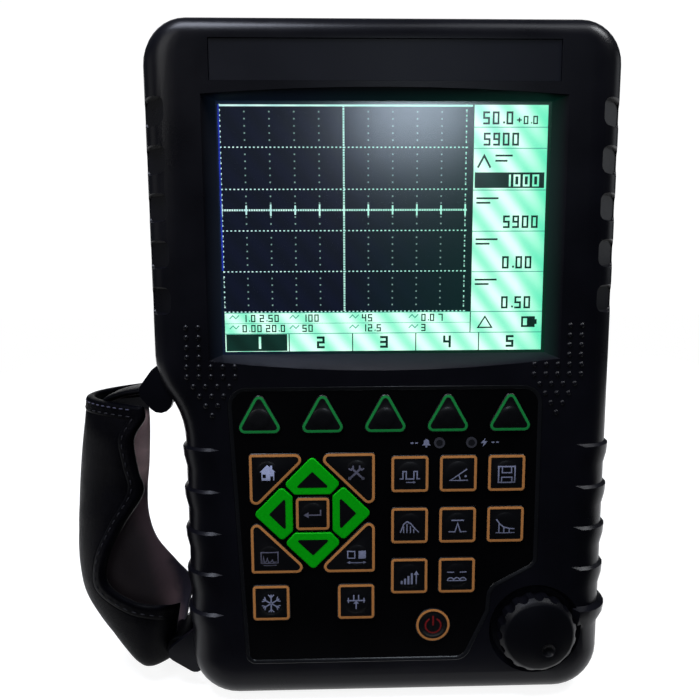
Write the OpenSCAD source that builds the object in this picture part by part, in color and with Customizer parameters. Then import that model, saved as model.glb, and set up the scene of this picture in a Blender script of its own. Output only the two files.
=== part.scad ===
// Hand-held ultrasonic flaw detector.
// Two moulded shells close on a seal. The front one carries a sunk display, a keypad
// with 25 travelling keys and a turning knob, the back one the battery and a stand.
// A cupped leather hand strap hangs between two anchors on the left side.
// X runs to the right, Y from the front face to the back and Z up. The origin is
// the middle of the flat bottom, on which the instrument stands.

/* [Housing] */
// Width of the housing
body_w = 168; // [164:1:174]
// Height of the housing without its sockets
body_h = 250; // [248:1:258]
// Depth of the housing from front face to back face
body_d = 56; // [55:0.5:60]
// Depth of the front shell, from the front face to the parting line
front_d = 34; // [33:0.5:35]
// Wall of both shells
wall = 3; // [2.8:0.1:3.1]
// Radius of the two upper corners
top_corner_r = 16; // [15.5:0.5:18]
// Radius of the two lower corners
low_corner_r = 18; // [16:0.5:19]
// Radius that rolls the sides into the front face
front_round = 11; // [9:0.5:11.5]
// Radius that rolls the sides into the back face
back_round = 10; // [8:0.5:11]
// How far the lower left side is drawn in for the hand
waist_in = 10; // [8:0.5:11]
// Height at which the lower left side is fully drawn in
waist_z = 101; // [100:0.5:103]
// Thickness of the seal between the shells
seal_t = 1; // [0.8:0.1:1.4]

/* [Grip] */
// Height of the topmost rib of the lower grip
rib_z = 100; // [98:0.5:100]
// Distance from one rib to the next, and from one scoop to the next
grip_pitch = 15.8; // [15:0.1:16]
// Height of one rib along the side
rib_len = 8.6; // [7:0.1:10]
// How far a rib stands out of the side
rib_rise = 1.2; // [0.8:0.1:1.6]
// Height of the centre of the topmost thumb scoop
scoop_z = 217.5; // [214:0.5:220]
// Height of one thumb scoop
scoop_len = 10.4; // [8:0.1:11]
// Depth of a thumb scoop below the rolled edge
scoop_depth = 2.1; // [1.2:0.1:2.6]
// Distance between neighbouring grip dots
dot_pitch = 4.25; // [3.8:0.05:4.4]
// Radius of one grip dot
dot_r = 0.95; // [0.7:0.05:1.2]

/* [Display] */
// Width of the picture area
screen_w = 115.2; // [112:0.1:117]
// Height of the picture area
screen_h = 86.4; // [84:0.1:88]
// Height of the middle of the picture area above the bottom
screen_z = 177.5; // [177:0.1:179]
// Depth of the picture area below the front face
screen_depth = 6; // [5.6:0.1:6.6]
// Width that each side wall of the display recess leans outward
flare_x = 4.3; // [3:0.1:5]
// Thickness of the display window
window_t = 1.2; // [1:0.1:1.5]

/* [Keypad] */
// Width of the keypad overlay at its top
pad_w = 114; // [112.5:0.5:115]
// Distance from the middle of the picture area down to the top of the overlay
pad_drop = 55.3; // [55:0.1:56]
// Height of the overlay's lower edge above the bottom
pad_low = 16.2; // [16:0.1:17]
// Thickness of the overlay sheet
overlay_t = 1.2; // [1:0.1:1.4]
// Side of a square function key
key_w = 14.1; // [13:0.1:14.6]
// Distance between neighbouring columns of function keys
key_pitch_x = 17.75; // [17:0.05:18.2]
// Distance between neighbouring rows of function keys
key_pitch_z = 19.6; // [18.5:0.05:20]
// Width of a soft key below the display
soft_w = 15.1; // [13:0.1:16]
// Distance between neighbouring soft keys
soft_pitch = 22.66; // [21:0.02:23]
// Distance from the middle of the arrow keys to an arrow key's tip
arrow_reach = 20.9; // [20.5:0.1:21.5]
// Side of the enter key in the middle of the arrow keys
enter_w = 12.8; // [11:0.1:13]
// Short side of a three-cornered key around the arrow keys
corner_w = 19.4; // [18.5:0.1:19.8]
// Radius of the power key
power_r = 6.6; // [5.5:0.1:7]
// How far a key's top stands above the front face
key_rise = 0.7; // [0.4:0.1:1]
// Travel of a key
key_travel = 0.7; // [0.4:0.1:0.7]
// Gap all round a key in the overlay
key_fit = 0.2; // [0.15:0.01:0.25]

/* [Knob] */
// Radius of the knob's gripping rim
knob_r = 14.5; // [13.5:0.1:15]
// Radius of the knob's flat front
knob_cap_r = 12.6; // [11.5:0.1:13]
// How far the knob stands above the front face
knob_rise = 5.6; // [4:0.1:7]
// Distance of the knob's axis from the right side
knob_in = 27; // [26.5:0.1:28]
// Height of the knob's axis above the bottom
knob_z = 28.2; // [28:0.1:29]
// Radius of the encoder shaft
shaft_r = 3; // [2.5:0.1:3.2]
// Radial running clearance of shafts and hinge pins
run_fit = 0.05; // [0.03:0.01:0.08]

/* [Strap] */
// How far the strap stands out of the lower left side
strap_reach = 50; // [48:0.5:54]
// Height that the strap spans
strap_drop = 125; // [124:0.5:126]
// Depth that the shares of the strap's outline are taken of
strap_deep = 60; // [58:0.5:62]
// Thickness of the leather with its lining
strap_t = 3.2; // [2.4:0.1:3.6]
// Radius of the bar that each strap end is looped on
bar_r = 2.2; // [1.8:0.1:2.4]

/* [Back] */
// Width of the battery pack
battery_w = 96; // [90:1:100]
// Height of the battery pack
battery_h = 64; // [60:1:68]
// Width of the folding stand
stand_w = 92; // [86:1:98]
// Height of the folding stand
stand_h = 66; // [60:1:70]
// Thickness of the folding stand
stand_t = 3; // [2.5:0.1:3.5]
// Radius of the stand's hinge pin
stand_pin_r = 1.5; // [1.2:0.1:1.6]
// Radius of a probe socket's barrel
socket_r = 4.8; // [4.5:0.1:5]
// Height of a probe socket above its shelf
socket_h = 9.5; // [8:0.5:10]

/* [Hidden] */

// Overrun of every cut
over = 0.6;
// Gap between pieces that only have to clear each other
gap = 0.3;
half_w = body_w / 2;
face_y = -body_d / 2;
back_y = body_d / 2;
// Share of the roll that the top edge keeps, because it is rolled less deep
top_share = 0.7;
// Flat stretch between a roll and the flat of its face
roll_land = 3;
// Length over which the ribs fade towards the parting line
rib_run = 8;
// Rise of each rib on the left and on the right, lowest first
rib_left_shares = [1, 1, 1, 1, 1];
rib_right_shares = [2, 1, 1, 1, 1];
// Two arcs draw the left side in
waist_upper_r = 2.6 * waist_in;
waist_lower_r = 3 * waist_in;
waist_turn = acos(1 - waist_in / (waist_upper_r + waist_lower_r));
waist_top_z = waist_z + (waist_upper_r + waist_lower_r) * sin(waist_turn);

// Display recess, window and module
window_seat = screen_depth - window_t;
window_margin = 0.9;
window_w = screen_w + 2 * window_margin;
window_h = screen_h + 2 * window_margin;
window_edge = 2.4;
rim_w = window_w + 2 * flare_x;
rim_over = 2;
rim_under = 2.6;
rim_top = screen_h / 2 + rim_over;
rim_low = screen_h / 2 + rim_under;
rim_bow_top = 2.4;
rim_bow_low = 3.8;
module_side = 9.5;
module_end = 9;
module_w = screen_w + 2 * module_side;
module_h = screen_h + 2 * module_end;
module_t = 6;
carrier_wall = 2;
carrier_w = module_w + 2 * gap + 2 * carrier_wall;
carrier_h = module_h + 2 * gap + 2 * carrier_wall;
carrier_back = screen_depth + module_t + gap;
board_t = 1.6;
standoff_r = 3.2;
standoff_in = 9;
standoff_len = 3.4;
main_board_d = carrier_back + carrier_wall + standoff_len;

// Keypad: depths are counted from the front face
pad_top = screen_z - pad_drop;
pad_h = pad_top - pad_low;
pad_taper = 4.8;
pad_corner_r = 7;
// Roundings of the overlay's corners, from the upper left one counterclockwise
pad_round_shares = [1, 0.57, 0.86, 0.57, 0.71, 0.71, 1];
// Rows of keys below the top of the overlay, as shares of its height
soft_row_share = 0.0943;
light_row_share = 0.2;
grid_row_share = 0.3075;
cluster_row_share = 0.4453;
side_row_share = 0.7689;
power_row_share = 0.8623;
pad_sunk = 0.4;
pad_floor = pad_sunk + overlay_t;
pad_ledge = 2.4;
keypad_board_d = wall;
dome_t = 0.25;
dome_r = 2.6;
key_foot = keypad_board_d - dome_t - key_travel - run_fit;
light_rise = 0.2;
crown_in = 0.7;
crown_t = 0.35;
key_round = 1.6;
soft_z = pad_top - soft_row_share * pad_h;
soft_h = 0.927 * soft_w;
soft_round = 2.3;
lights_z = pad_top - light_row_share * pad_h;
light_r = 2;
light_x = [19.8, 31.5];
grid_x = 9;
grid_z = pad_top - grid_row_share * pad_h;
cluster_x = -26.6;
cluster_z = pad_top - cluster_row_share * pad_h;
corner_out = 13.35;
corner_up = 13.2;
corner_round = 2.5;
corner_square_r = 1.3;
arrow_round = 1.5;
arrow_len = 13.6;
arrow_base = arrow_reach - arrow_len;
side_key_x = 15.8;
side_key_z = pad_top - side_row_share * pad_h;
power_x = 18.1;
power_z = pad_top - power_row_share * pad_h;

// Knob and encoder
knob_x = half_w - knob_in;
well_gap = 1.5;
well_r = knob_r + well_gap;
well_flare = 1.6;
well_d = 2.6;
lip_r = well_r + well_flare;
// Corners of the overlay around the knob: out of the knob's axis, in shares of lip_r
lip_shares = [[-1.5, 0], [-1, 0.42], [-0.97, 0.92], [0, 1.45]];
boss_wall = 1.8;
boss_r = well_r + boss_wall;
boss_d = well_d + wall;
bushing_wall = 1.6;
bushing_r = shaft_r + bushing_wall;
bushing_sunk = 0.6;
encoder_w = 15;
encoder_t = 6.5;
encoder_floor = 1.5;
knob_under = 0.7;
knob_foot = well_d - knob_under;
knob_slope = 1.6;
knob_rim_d = -(knob_rise - knob_slope);
knob_edge = 1;
knob_bevel = 0.4;
flute_count = 16;
flute_r = 2.6;
// Share of a flute's radius by which its axis stands off the rim
flute_out_share = 0.66;
dimple_r = 3.4;
dimple_up = 2.2;
// Place of the dimple's middle on the flat front
dimple_shares = [0.28, 0.43];
cap_t = 2.4;
shaft_end_d = -(knob_rise - cap_t);

// Screws
screw_r = 1.45;
screw_fit = 0.15;
post_r = 3.8;
screw_head_r = 2.9;
screw_head_t = 2.2;
// Depth of the bore above each case screw, below the back face
screw_sunk = 5;
post_wall = 1.5;
rear_post_r = screw_head_r + gap + post_wall;
screw_bore = 14;
screw_grip = 10;
post_mid_drop = 37.5;
post_in = 7;
post_top_in = 14;
post_low_in = 16;
post_low_z = 16.5;

// Back: depths are still counted from the front face
rear_d = front_d + seal_t;
foot_r = 6;
foot_t = 1.8;
foot_in = 38;
foot_sunk = 0.8;
foot_land = 2;
foot_low_z = back_round + foot_r + foot_land;
foot_top_in = 22;
battery_t = 14.4;
battery_round = 2;
door_t = 2.5;
door_margin = 8;
door_round = 4;
door_clear = 4;
battery_z = foot_low_z + foot_r + door_clear + door_margin + battery_h / 2;
door_screw_in = 4.4;
door_screw_len = 5;
door_floor = 1;
door_screw_head_t = 1.2;
door_screw_places = [for (x = [-1, 1], z = [-1, 1])
    [x * (battery_w / 2 + door_margin - door_screw_in),
        battery_z + z * (battery_h / 2 + door_margin - door_screw_in)]];
door_d = body_d - door_t;
battery_d = door_d - gap - battery_t;
tub_wall = 2;
stand_z = 198;
stand_gap = 0.6;
stand_room = 1;
stand_pocket = stand_t + stand_room;
stand_round = 4;
stand_window_round = 6;
pocket_round = 3;
bracket_w = 7;
bracket_gap = 1;
pin_len = 8;
knuckle_wall = 1.5;
knuckle_r = stand_pin_r + knuckle_wall;
stand_axis_d = body_d - knuckle_r - gap;
stand_foot_h = 9;

// Top: sockets and ports on a flat shelf at the back
shelf_w = 124;
shelf_front = 2;
shelf_behind = 3;
shelf_rise = 0.5;
shelf_block = 14;
shelf_box = 20;
shelf_d = rear_d + shelf_front;
shelf_depth = body_d - shelf_d - shelf_behind;
shelf_z = body_h + shelf_rise;
socket_d = shelf_d + shelf_depth / 2;
socket_x = [-46, -24];
flange_t = 2;
flange_out = 2.6;
flange_r = socket_r + flange_out;
socket_tail = 8;
socket_wall = 0.9;
socket_floor = 3;
contact_r = 0.7;
contact_short = 2.5;
lug_r = 1;
lug_out = 0.9;
lug_down = 3;
jack_x = 16;
jack_r = 3.4;
jack_tail = 10;
port_x = 38;
port_w = 12;
port_t = 6;
port_tail = 10;
port_wall = 0.8;
port_floor = 2;
cover_x = 27;
cover_w = 46;
cover_t = 2;
cover_hinge_r = 1.4;
cover_in = 2;
cover_ear = 2.4;

// Strap
waist_x = -(half_w - waist_in);
strap_below = 50;
strap_z = screen_z - strap_below;
anchor_d = 10.5;
ear_t = 2.6;
bar_len = 18;
upper_ear_r = bar_r + 2.4;
lower_ear_r = bar_r + 1.2;
loop_wall = 2.6;
loop_r = bar_r + gap + loop_wall;
// The anchors lie on the housing with this much between
touch = 0.02;
upper_bar_out = 12.4;
upper_bar_down = 8.5;
lower_bar_out = 6.8;
lower_bar_z = 14.5;
upper_bar = [waist_x - upper_bar_out, strap_z - upper_bar_down];
lower_bar = [waist_x - lower_bar_out, lower_bar_z];
// Feet of the anchors' ears, out of their bar, in shares of ear_span
ear_span = 9;
upper_foot_shares = [[0.34, -0.4], [0.45, 0.6]];
lower_foot_shares = [[0.78, -0.51], [1, 0.78]];

// Points on an arc, each with its outward direction and its share of a rib
function arc_run(c, r, a0, a1, n, side = 1) = [for (i = [0:n])
    let (a = a0 + (a1 - a0) * i / n)
    [c[0] + r * cos(a), c[1] + r * sin(a), side * cos(a), side * sin(a), 0]];

// Points up one side past its ribs; a rib has a steep top and a long lower slope
function rib_run_up(x, dir, shares) = [for (k = [0:len(shares) - 1])
    let (top = rib_z - (len(shares) - 1 - k) * grip_pitch, s = shares[k])
    each [[x, top - rib_len, dir, 0, 0], [x, top - 0.5 * rib_len, dir, 0, 0.8 * s],
        [x, top - 0.1 * rib_len, dir, 0, s], [x, top, dir, 0, 0]]];

function reversed(list) = [for (i = [len(list) - 1:-1:0]) list[i]];

// Outline of the housing seen from the front, counterclockwise from the lower right
corner_steps = 9;
waist_steps = 5;
outline = concat(
    arc_run([half_w - low_corner_r, low_corner_r], low_corner_r, -90, 0, corner_steps),
    rib_run_up(half_w, 1, rib_right_shares),
    arc_run([half_w - top_corner_r, body_h - top_corner_r], top_corner_r, 0, 90,
        corner_steps),
    arc_run([-half_w + top_corner_r, body_h - top_corner_r], top_corner_r, 90, 180,
        corner_steps),
    arc_run([-half_w + waist_upper_r, waist_top_z], waist_upper_r, 180,
        180 + waist_turn, waist_steps),
    arc_run([waist_x - waist_lower_r, waist_z], waist_lower_r, waist_turn, 0,
        waist_steps, -1),
    reversed(rib_run_up(waist_x, -1, rib_left_shares)),
    arc_run([waist_x + low_corner_r, low_corner_r], low_corner_r, 180, 270,
        corner_steps));

// A point of the outline moved in by skin and then by the roll
function moved_in(p, skin, roll) = [p[0] - p[2] * (skin + roll),
    p[1] - p[3] * (skin + (p[3] > 0 ? top_share : 1) * roll)];

// Rings of the housing, each a list of [how far in, depth, share of the rib]
function roll_ring(p, skin, r, rise, a) =
    let (rr = r + p[4] * rise, q = moved_in(p, skin, r - rr * cos(a)))
    [q[0], r - rr * sin(a), q[1]];
function side_ring(p, skin, y, rise) =
    let (q = moved_in(p, skin, -p[4] * rise)) [q[0], y, q[1]];
function land_ring(p, skin, r) =
    let (q = moved_in(p, skin, r + roll_land)) [q[0], 0, q[1]];

// A closed form with the outline of the housing: open side at y = depth, rolled
// face at y = 0. skin moves it inward, rise is the height of its ribs.
module housing_form(depth, r, steps, skin = 0, rise = 0) {
    n = len(outline);
    rings = concat(
        [[for (p = outline) side_ring(p, skin, depth, 0)]],
        [[for (p = outline) side_ring(p, skin, depth - rib_run, rise)]],
        [for (k = [0:steps]) [for (p = outline) roll_ring(p, skin, r, rise, 90 * k / steps)]],
        [[for (p = outline) land_ring(p, skin, r)]]);
    last = len(rings) - 1;
    polyhedron(
        points = [for (ring = rings) each ring],
        faces = concat(
            [[for (i = [0:n - 1]) i]],
            [for (k = [0:last - 1], i = [0:n - 1])
                [k * n + i, (k + 1) * n + i, (k + 1) * n + (i + 1) % n]],
            [for (k = [0:last - 1], i = [0:n - 1])
                [k * n + i, (k + 1) * n + (i + 1) % n, k * n + (i + 1) % n]],
            [[for (i = [n - 1:-1:0]) last * n + i]]));
}

// The outline as a flat shape
module housing_outline(skin = 0) polygon([for (p = outline) moved_in(p, skin, 0)]);

// A flat shape in X and Z, extruded from depth d0 to depth d1 behind the front face
module slab(d0, d1) translate([0, face_y + d1, 0]) rotate([90, 0, 0])
    linear_extrude(height = d1 - d0) children();

// Outline round circles of radius r whose centres go counterclockwise
function turn_to(a, b) = (b - a + 720) % 360;
function edge_angle(p, q) = atan2(p[0] - q[0], q[1] - p[1]);
function round_hull(c, r, n = 5) = [for (i = [0:len(c) - 1])
    let (before = c[(i + len(c) - 1) % len(c)], after = c[(i + 1) % len(c)],
        a0 = edge_angle(before, c[i]), turn = turn_to(a0, edge_angle(c[i], after)))
    each [for (k = [0:n]) let (a = a0 + turn * k / n)
        [c[i][0] + r * cos(a), c[i][1] + r * sin(a)]]];

// Corner of radius r between three points, bulging in or out
function unit(v) = v / norm(v);
function corner(a, p, b, r, n = 6) =
    let (u = unit(a - p), v = unit(b - p), half = acos(u * v) / 2,
        c = p + unit(u + v) * r / sin(half), s = p + u * r / tan(half) - c,
        e = p + v * r / tan(half) - c, a0 = atan2(s[1], s[0]),
        turn = (atan2(e[1], e[0]) - a0 + 900) % 360 - 180)
    [for (k = [0:n]) c + r * [cos(a0 + turn * k / n), sin(a0 + turn * k / n)]];
function rounded(pts, radii) = let (m = len(pts)) [for (i = [0:m - 1])
    each corner(pts[(i + m - 1) % m], pts[i], pts[(i + 1) % m], radii[i])];

function box_centres(w, h, r) = [[-w / 2 + r, -h / 2 + r], [w / 2 - r, -h / 2 + r],
    [w / 2 - r, h / 2 - r], [-w / 2 + r, h / 2 - r]];
module rounded_box(w, h, r) polygon(round_hull(box_centres(w, h, r), r));

// Outline of the keypad overlay, moved in on every side by inset
pad_half = pad_w / 2;
function around_knob(i) = [knob_x, knob_z] + lip_r * lip_shares[i];
pad_points = [[-pad_half, pad_top], [-pad_half + pad_taper, pad_low],
    [around_knob(0)[0], pad_low], around_knob(1), around_knob(2),
    [pad_half, around_knob(3)[1]], [pad_half, pad_top]];
pad_outline = rounded(pad_points, pad_corner_r * pad_round_shares);

// Rim of the display recess, with its bowed top and bottom
bow_steps = 8;
function bow(z, rise, dir) = [for (i = [0:bow_steps])
    let (x = dir * (-1 + 2 * i / bow_steps))
    [x * rim_w / 2, screen_z + z + rise * (1 - x * x)]];
rim_outline = concat(bow(rim_top, rim_bow_top, -1), bow(-rim_low, -rim_bow_low, 1));

// Case screws stand in six posts
post_places = [for (s = [-1, 1]) each [
    [s * (half_w - post_top_in), body_h - post_top_in],
    [s * (half_w - post_in), screen_z - post_mid_drop],
    [s * (half_w - post_low_in) + (s < 0 ? waist_in : 0), post_low_z]]];

// Places of the grip dots under the display: centre of each row and its dots
dot_rows = [2, 2, 2, 2, 5, 5, 4, 3, 2, 1];
dot_row_step = 3.5;
dot_x = 62.1;
dot_drop = 33.9;
dot_z = screen_z - dot_drop;
function dot_centre(k) = dot_rows[k] == 2 && k < 4 ? dot_x + 1.45 * dot_pitch : dot_x;
dot_places = [for (k = [0:len(dot_rows) - 1], i = [0:dot_rows[k] - 1])
    [dot_centre(k) + (i - (dot_rows[k] - 1) / 2) * dot_pitch, dot_z - k * dot_row_step]];

// Name inlay above the display
inlay_w = 119.4;
inlay_h = 13.4;
inlay_t = 0.8;
inlay_up = 56.4;
inlay_z = screen_z + inlay_up;

module dot() hull() {
    rotate([90, 0, 0]) cylinder(r = dot_r, h = 0.12 * dot_r, $fn = 12);
    rotate([90, 0, 0]) cylinder(r = 0.5 * dot_r, h = 0.55 * dot_r, $fn = 12);
}

// One thumb scoop: a flat floor across the rolled edge, with sloping walls
scoop_floor_w = 2 * sqrt(pow(front_round, 2) - pow(front_round - scoop_depth, 2));
scoop_round = 2.2;
scoop_mouth_round = 3;
scoop_in = [0.7, 1];
scoop_out = [2, 0.6];
module scoop(side) translate([side * (half_w - front_round), face_y + front_round, 0])
    rotate([0, 0, side * 45]) translate([0, -(front_round - scoop_depth), 0])
    hull() {
        rotate([90, 0, 0]) linear_extrude(height = 0.1 * scoop_depth)
            rounded_box(scoop_floor_w - 2 * scoop_in[0], scoop_len - 2 * scoop_in[1],
                scoop_round);
        translate([0, -2 * scoop_depth, 0]) rotate([90, 0, 0])
            linear_extrude(height = 0.1 * scoop_depth)
            rounded_box(scoop_floor_w + 2 * scoop_out[0], scoop_len + 2 * scoop_out[1],
                scoop_mouth_round);
    }

// Flared recess of the display, from the rim down to the window
module display_recess() hull() {
    slab(-over, 0) polygon(rim_outline);
    slab(window_seat - gap, window_seat) translate([0, screen_z])
        square([window_w, window_h], center = true);
}

module knob_well() hull() {
    slab(-over, 0) translate([knob_x, knob_z]) circle(r = well_r + well_flare, $fn = 48);
    slab(well_d - over, well_d) translate([knob_x, knob_z]) circle(r = well_r, $fn = 48);
}

module front_shell() color([0.09, 0.1, 0.13]) difference() {
    union() {
        translate([0, face_y, 0])
            housing_form(front_d, front_round, 6, rise = rib_rise);
        for (s = [-1, 1], p = dot_places) translate([s * p[0], face_y, p[1]]) dot();
    }
    difference() {
        translate([0, face_y + wall, 0])
            housing_form(front_d - wall + over, front_round - wall, 3, skin = wall);
        // Block behind the display recess, and the one behind the knob
        slab(0, screen_depth) translate([0, screen_z])
            square([rim_w + 2 * wall, 2 * (rim_low + rim_bow_low) + 2 * wall], center = true);
        slab(0, boss_d) translate([knob_x, knob_z]) circle(r = boss_r, $fn = 48);
        for (p = post_places)
            slab(0, front_d + over) translate(p) circle(r = post_r, $fn = 24);
    }
    display_recess();
    slab(0, screen_depth + over) translate([0, screen_z])
        square([window_w - window_edge, window_h - window_edge], center = true);
    slab(window_seat, screen_depth + over) translate([0, screen_z])
        square([window_w + window_edge, window_h + window_edge], center = true);
    slab(-over, pad_floor) polygon(pad_outline);
    slab(0, wall + over) offset(delta = -pad_ledge) polygon(pad_outline);
    knob_well();
    slab(0, boss_d + over) translate([knob_x, knob_z])
        circle(r = bushing_r + gap, $fn = 32);
    slab(-over, inlay_t + pad_sunk) translate([0, inlay_z])
        square([inlay_w + gap, inlay_h + gap], center = true);
    for (s = [-1, 1], k = [0:4]) translate([0, 0, scoop_z - k * grip_pitch * 1.02]) scoop(s);
    for (p = post_places) slab(front_d - screw_bore, front_d + over) translate(p)
        circle(r = screw_r + screw_fit, $fn = 20);
}

// The rear shell is drawn from its own face and turned round
module rear_shell() color([0.09, 0.1, 0.13]) difference() {
    union() {
        translate([0, back_y, 0]) mirror([0, 1, 0])
            housing_form(body_d - rear_d, back_round, 5, rise = rib_rise);
        translate([-shelf_w / 2, face_y + shelf_d, shelf_z - shelf_block])
            cube([shelf_w, shelf_depth, shelf_block]);
        for (s = [-1, 1])
            translate([cover_x + s * (cover_w / 2 + gap + cover_ear / 2) - cover_ear / 2,
                cover_axis[1] - cover_hinge_r, shelf_z - over])
            cube([cover_ear, 2 * cover_hinge_r,
                cover_axis[2] + cover_hinge_r - shelf_z + over]);
    }
    difference() {
        translate([0, back_y - wall, 0]) mirror([0, 1, 0])
            housing_form(body_d - rear_d - wall + over, back_round - wall, 3, skin = wall);
        slab(battery_d - tub_wall, body_d) translate([0, battery_z])
            rounded_box(battery_w + 2 * tub_wall + 2 * gap,
                battery_h + 2 * tub_wall + 2 * gap, battery_round + gap);
        slab(door_d - door_screw_len - door_floor, body_d) translate([0, battery_z])
            rounded_box(battery_w + 2 * door_margin + 2 * tub_wall,
                battery_h + 2 * door_margin + 2 * tub_wall, door_round + tub_wall);
        slab(stand_axis_d - knuckle_r - gap - tub_wall, body_d)
            translate([0, stand_z - stand_h / 2 + knuckle_r])
            square([stand_w + 2 * wall, stand_h + 3 * wall], center = true);
        for (p = post_places)
            slab(rear_d - over, body_d) translate(p) circle(r = rear_post_r, $fn = 24);
        translate([-shelf_w / 2, face_y + shelf_d - wall, body_h - shelf_box])
            cube([shelf_w, shelf_depth + wall, shelf_box]);
    }
    battery_opening();
    stand_opening();
    shelf_cuts();
    for (p = post_places) {
        slab(rear_d - over, body_d + over) translate(p)
            circle(r = screw_r + screw_fit, $fn = 20);
        round_seat(p, screw_head_r + gap, screw_sunk + screw_head_t);
    }
    for (p = foot_places) round_seat(p, foot_r + gap, foot_sunk);
}

// A round seat in the back face, its mouth opened a little
mouth = 0.4;
module round_seat(p, r, depth) hull() {
    slab(body_d - depth, body_d - mouth) translate(p) circle(r = r, $fn = 28);
    slab(body_d - mouth, body_d + over) translate(p) circle(r = r + mouth, $fn = 28);
}

// Room for the battery, the shallow seat of its door, and the door's screw holes
module battery_opening() {
    slab(battery_d - gap, body_d + over) translate([0, battery_z])
        rounded_box(battery_w + 2 * gap, battery_h + 2 * gap, battery_round);
    slab(door_d, body_d + over) translate([0, battery_z])
        rounded_box(battery_w + 2 * door_margin + 2 * gap,
            battery_h + 2 * door_margin + 2 * gap, door_round);
    for (p = door_screw_places) slab(door_d - door_screw_len, body_d) translate(p)
        circle(r = screw_r + screw_fit, $fn = 20);
}

// Shallow pocket of the stand, deeper at its hinge
module stand_opening() {
    hull() for (x = [-1, 1], z = [-stand_h + knuckle_r, knuckle_r])
        translate([x * (stand_w / 2 + stand_gap - pocket_round),
            face_y + body_d - stand_pocket, stand_z + z + (z < 0
            ? -stand_gap + pocket_round : stand_gap + gap - pocket_round)])
        rotate([-90, 0, 0])
        cylinder(r = pocket_round, h = stand_pocket + over, $fn = 20);
    slab(stand_axis_d - knuckle_r - gap, body_d + over) translate([0, stand_z])
        square([stand_w + 2 * stand_gap, 2 * (knuckle_r + stand_gap)], center = true);
    // Finger notch under the stand's lower edge
    slab(body_d - stand_pocket, body_d + over) translate([0, stand_z - stand_h + knuckle_r])
        circle(r = stand_foot_h, $fn = 32);
}

// Bores for the sockets and ports in the shelf
module shelf_cuts() {
    for (x = socket_x) translate([x, face_y + socket_d, shelf_z - wall - over])
        cylinder(r = socket_r + gap, h = wall + 2 * over, $fn = 32);
    translate([jack_x, face_y + socket_d, shelf_z - wall - over])
        cylinder(r = jack_r + gap, h = wall + 2 * over, $fn = 32);
    translate([port_x - port_w / 2 - gap, face_y + socket_d - port_t / 2 - gap,
        shelf_z - wall - over])
        cube([port_w + 2 * gap, port_t + 2 * gap, wall + 2 * over]);
    translate([-shelf_w / 2 + wall, face_y + shelf_d - wall - over, shelf_z - shelf_box])
        cube([shelf_w - 2 * wall, shelf_depth + shelf_behind - wall / 3, shelf_box - wall]);
}

foot_places = [for (x = [-1, 1], z = [foot_low_z, body_h - foot_top_in])
    [x * (half_w - foot_in), z]];

seal_in = 0.5;
module shell_seal() color([0.03, 0.03, 0.03]) slab(front_d, rear_d) difference() {
    housing_outline(seal_in);
    housing_outline(wall - seal_in / 2);
}

module name_inlay() color([0.08, 0.09, 0.11])
    slab(pad_sunk, pad_sunk + inlay_t) translate([0, inlay_z])
    square([inlay_w, inlay_h], center = true);

module display_window() color([0.7, 0.8, 0.8, 0.3])
    slab(window_seat, screen_depth) translate([0, screen_z])
    square([window_w + window_edge - gap, window_h + window_edge - gap], center = true);

module display_module() color([0.2, 0.3, 0.28])
    slab(screen_depth, screen_depth + module_t) translate([0, screen_z])
    square([module_w, module_h], center = true);

// Tray that holds the module against the block of the front shell
module display_carrier() color([0.55, 0.56, 0.58]) translate([0, 0, screen_z]) difference() {
    union() {
        slab(screen_depth, carrier_back + carrier_wall)
            square([carrier_w, carrier_h], center = true);
        for (x = [-1, 1], z = [-1, 1]) slab(carrier_back, main_board_d)
            translate([x * (carrier_w / 2 - standoff_in), z * (carrier_h / 2 - standoff_in)])
            circle(r = standoff_r, $fn = 32);
    }
    slab(screen_depth - over, carrier_back)
        square([module_w + 2 * gap, module_h + 2 * gap], center = true);
    slab(carrier_back - over, carrier_back + carrier_wall + over)
        square([module_w * 0.6, module_h * 0.6], center = true);
}

// Every key: its outline around its own centre, and where it sits
module at_key(p) translate([p[0], 0, p[1]]) children();
module key_body(points, inner) {
    slab(-key_rise + crown_t, key_foot) polygon(points);
    slab(-key_rise, -key_rise + crown_t) polygon(inner);
}
function square_key(w, r, grow = 0) = round_hull(box_centres(w, w, r), r + grow);
soft_centres = [[-soft_w / 2 + soft_round, -soft_h / 2 + soft_round],
    [soft_w / 2 - soft_round, -soft_h / 2 + soft_round], [0, soft_h / 2 - soft_round]];
function corner_key(a, grow) =
    let (h = corner_w / 2 + grow, r = corner_round + grow, off = r * sqrt(2))
    rounded(turned([[-h, -h - off], [h + off, h], [-h, h]], a), [r, r, corner_square_r + grow]);
arrow_wing = 0.39 * arrow_reach;
arrow_foot = 0.283 * arrow_reach;
arrow_centres = [[-arrow_foot, arrow_base + arrow_round],
    [arrow_foot, arrow_base + arrow_round],
    [arrow_wing, arrow_reach - arrow_round - arrow_wing],
    [0, arrow_reach - arrow_round],
    [-arrow_wing, arrow_reach - arrow_round - arrow_wing]];
function turned(list, a) = [for (p = list)
    [p[0] * cos(a) - p[1] * sin(a), p[0] * sin(a) + p[1] * cos(a)]];

function key_outline(kind, grow) =
    kind == "soft" ? round_hull(soft_centres, soft_round + grow)
    : kind == "square" ? square_key(key_w, key_round, grow)
    : kind == "enter" ? square_key(enter_w, key_round, grow)
    : kind == "home" ? corner_key(0, grow)
    : kind == "tools" ? corner_key(-90, grow)
    : kind == "wave" ? corner_key(90, grow)
    : kind == "split" ? corner_key(180, grow)
    : kind == "up" ? round_hull(arrow_centres, arrow_round + grow)
    : kind == "left" ? round_hull(turned(arrow_centres, 90), arrow_round + grow)
    : kind == "down" ? round_hull(turned(arrow_centres, 180), arrow_round + grow)
    : kind == "right" ? round_hull(turned(arrow_centres, -90), arrow_round + grow)
    : [for (a = [0:10:350]) (power_r + grow) * [cos(a), sin(a)]];

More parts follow.
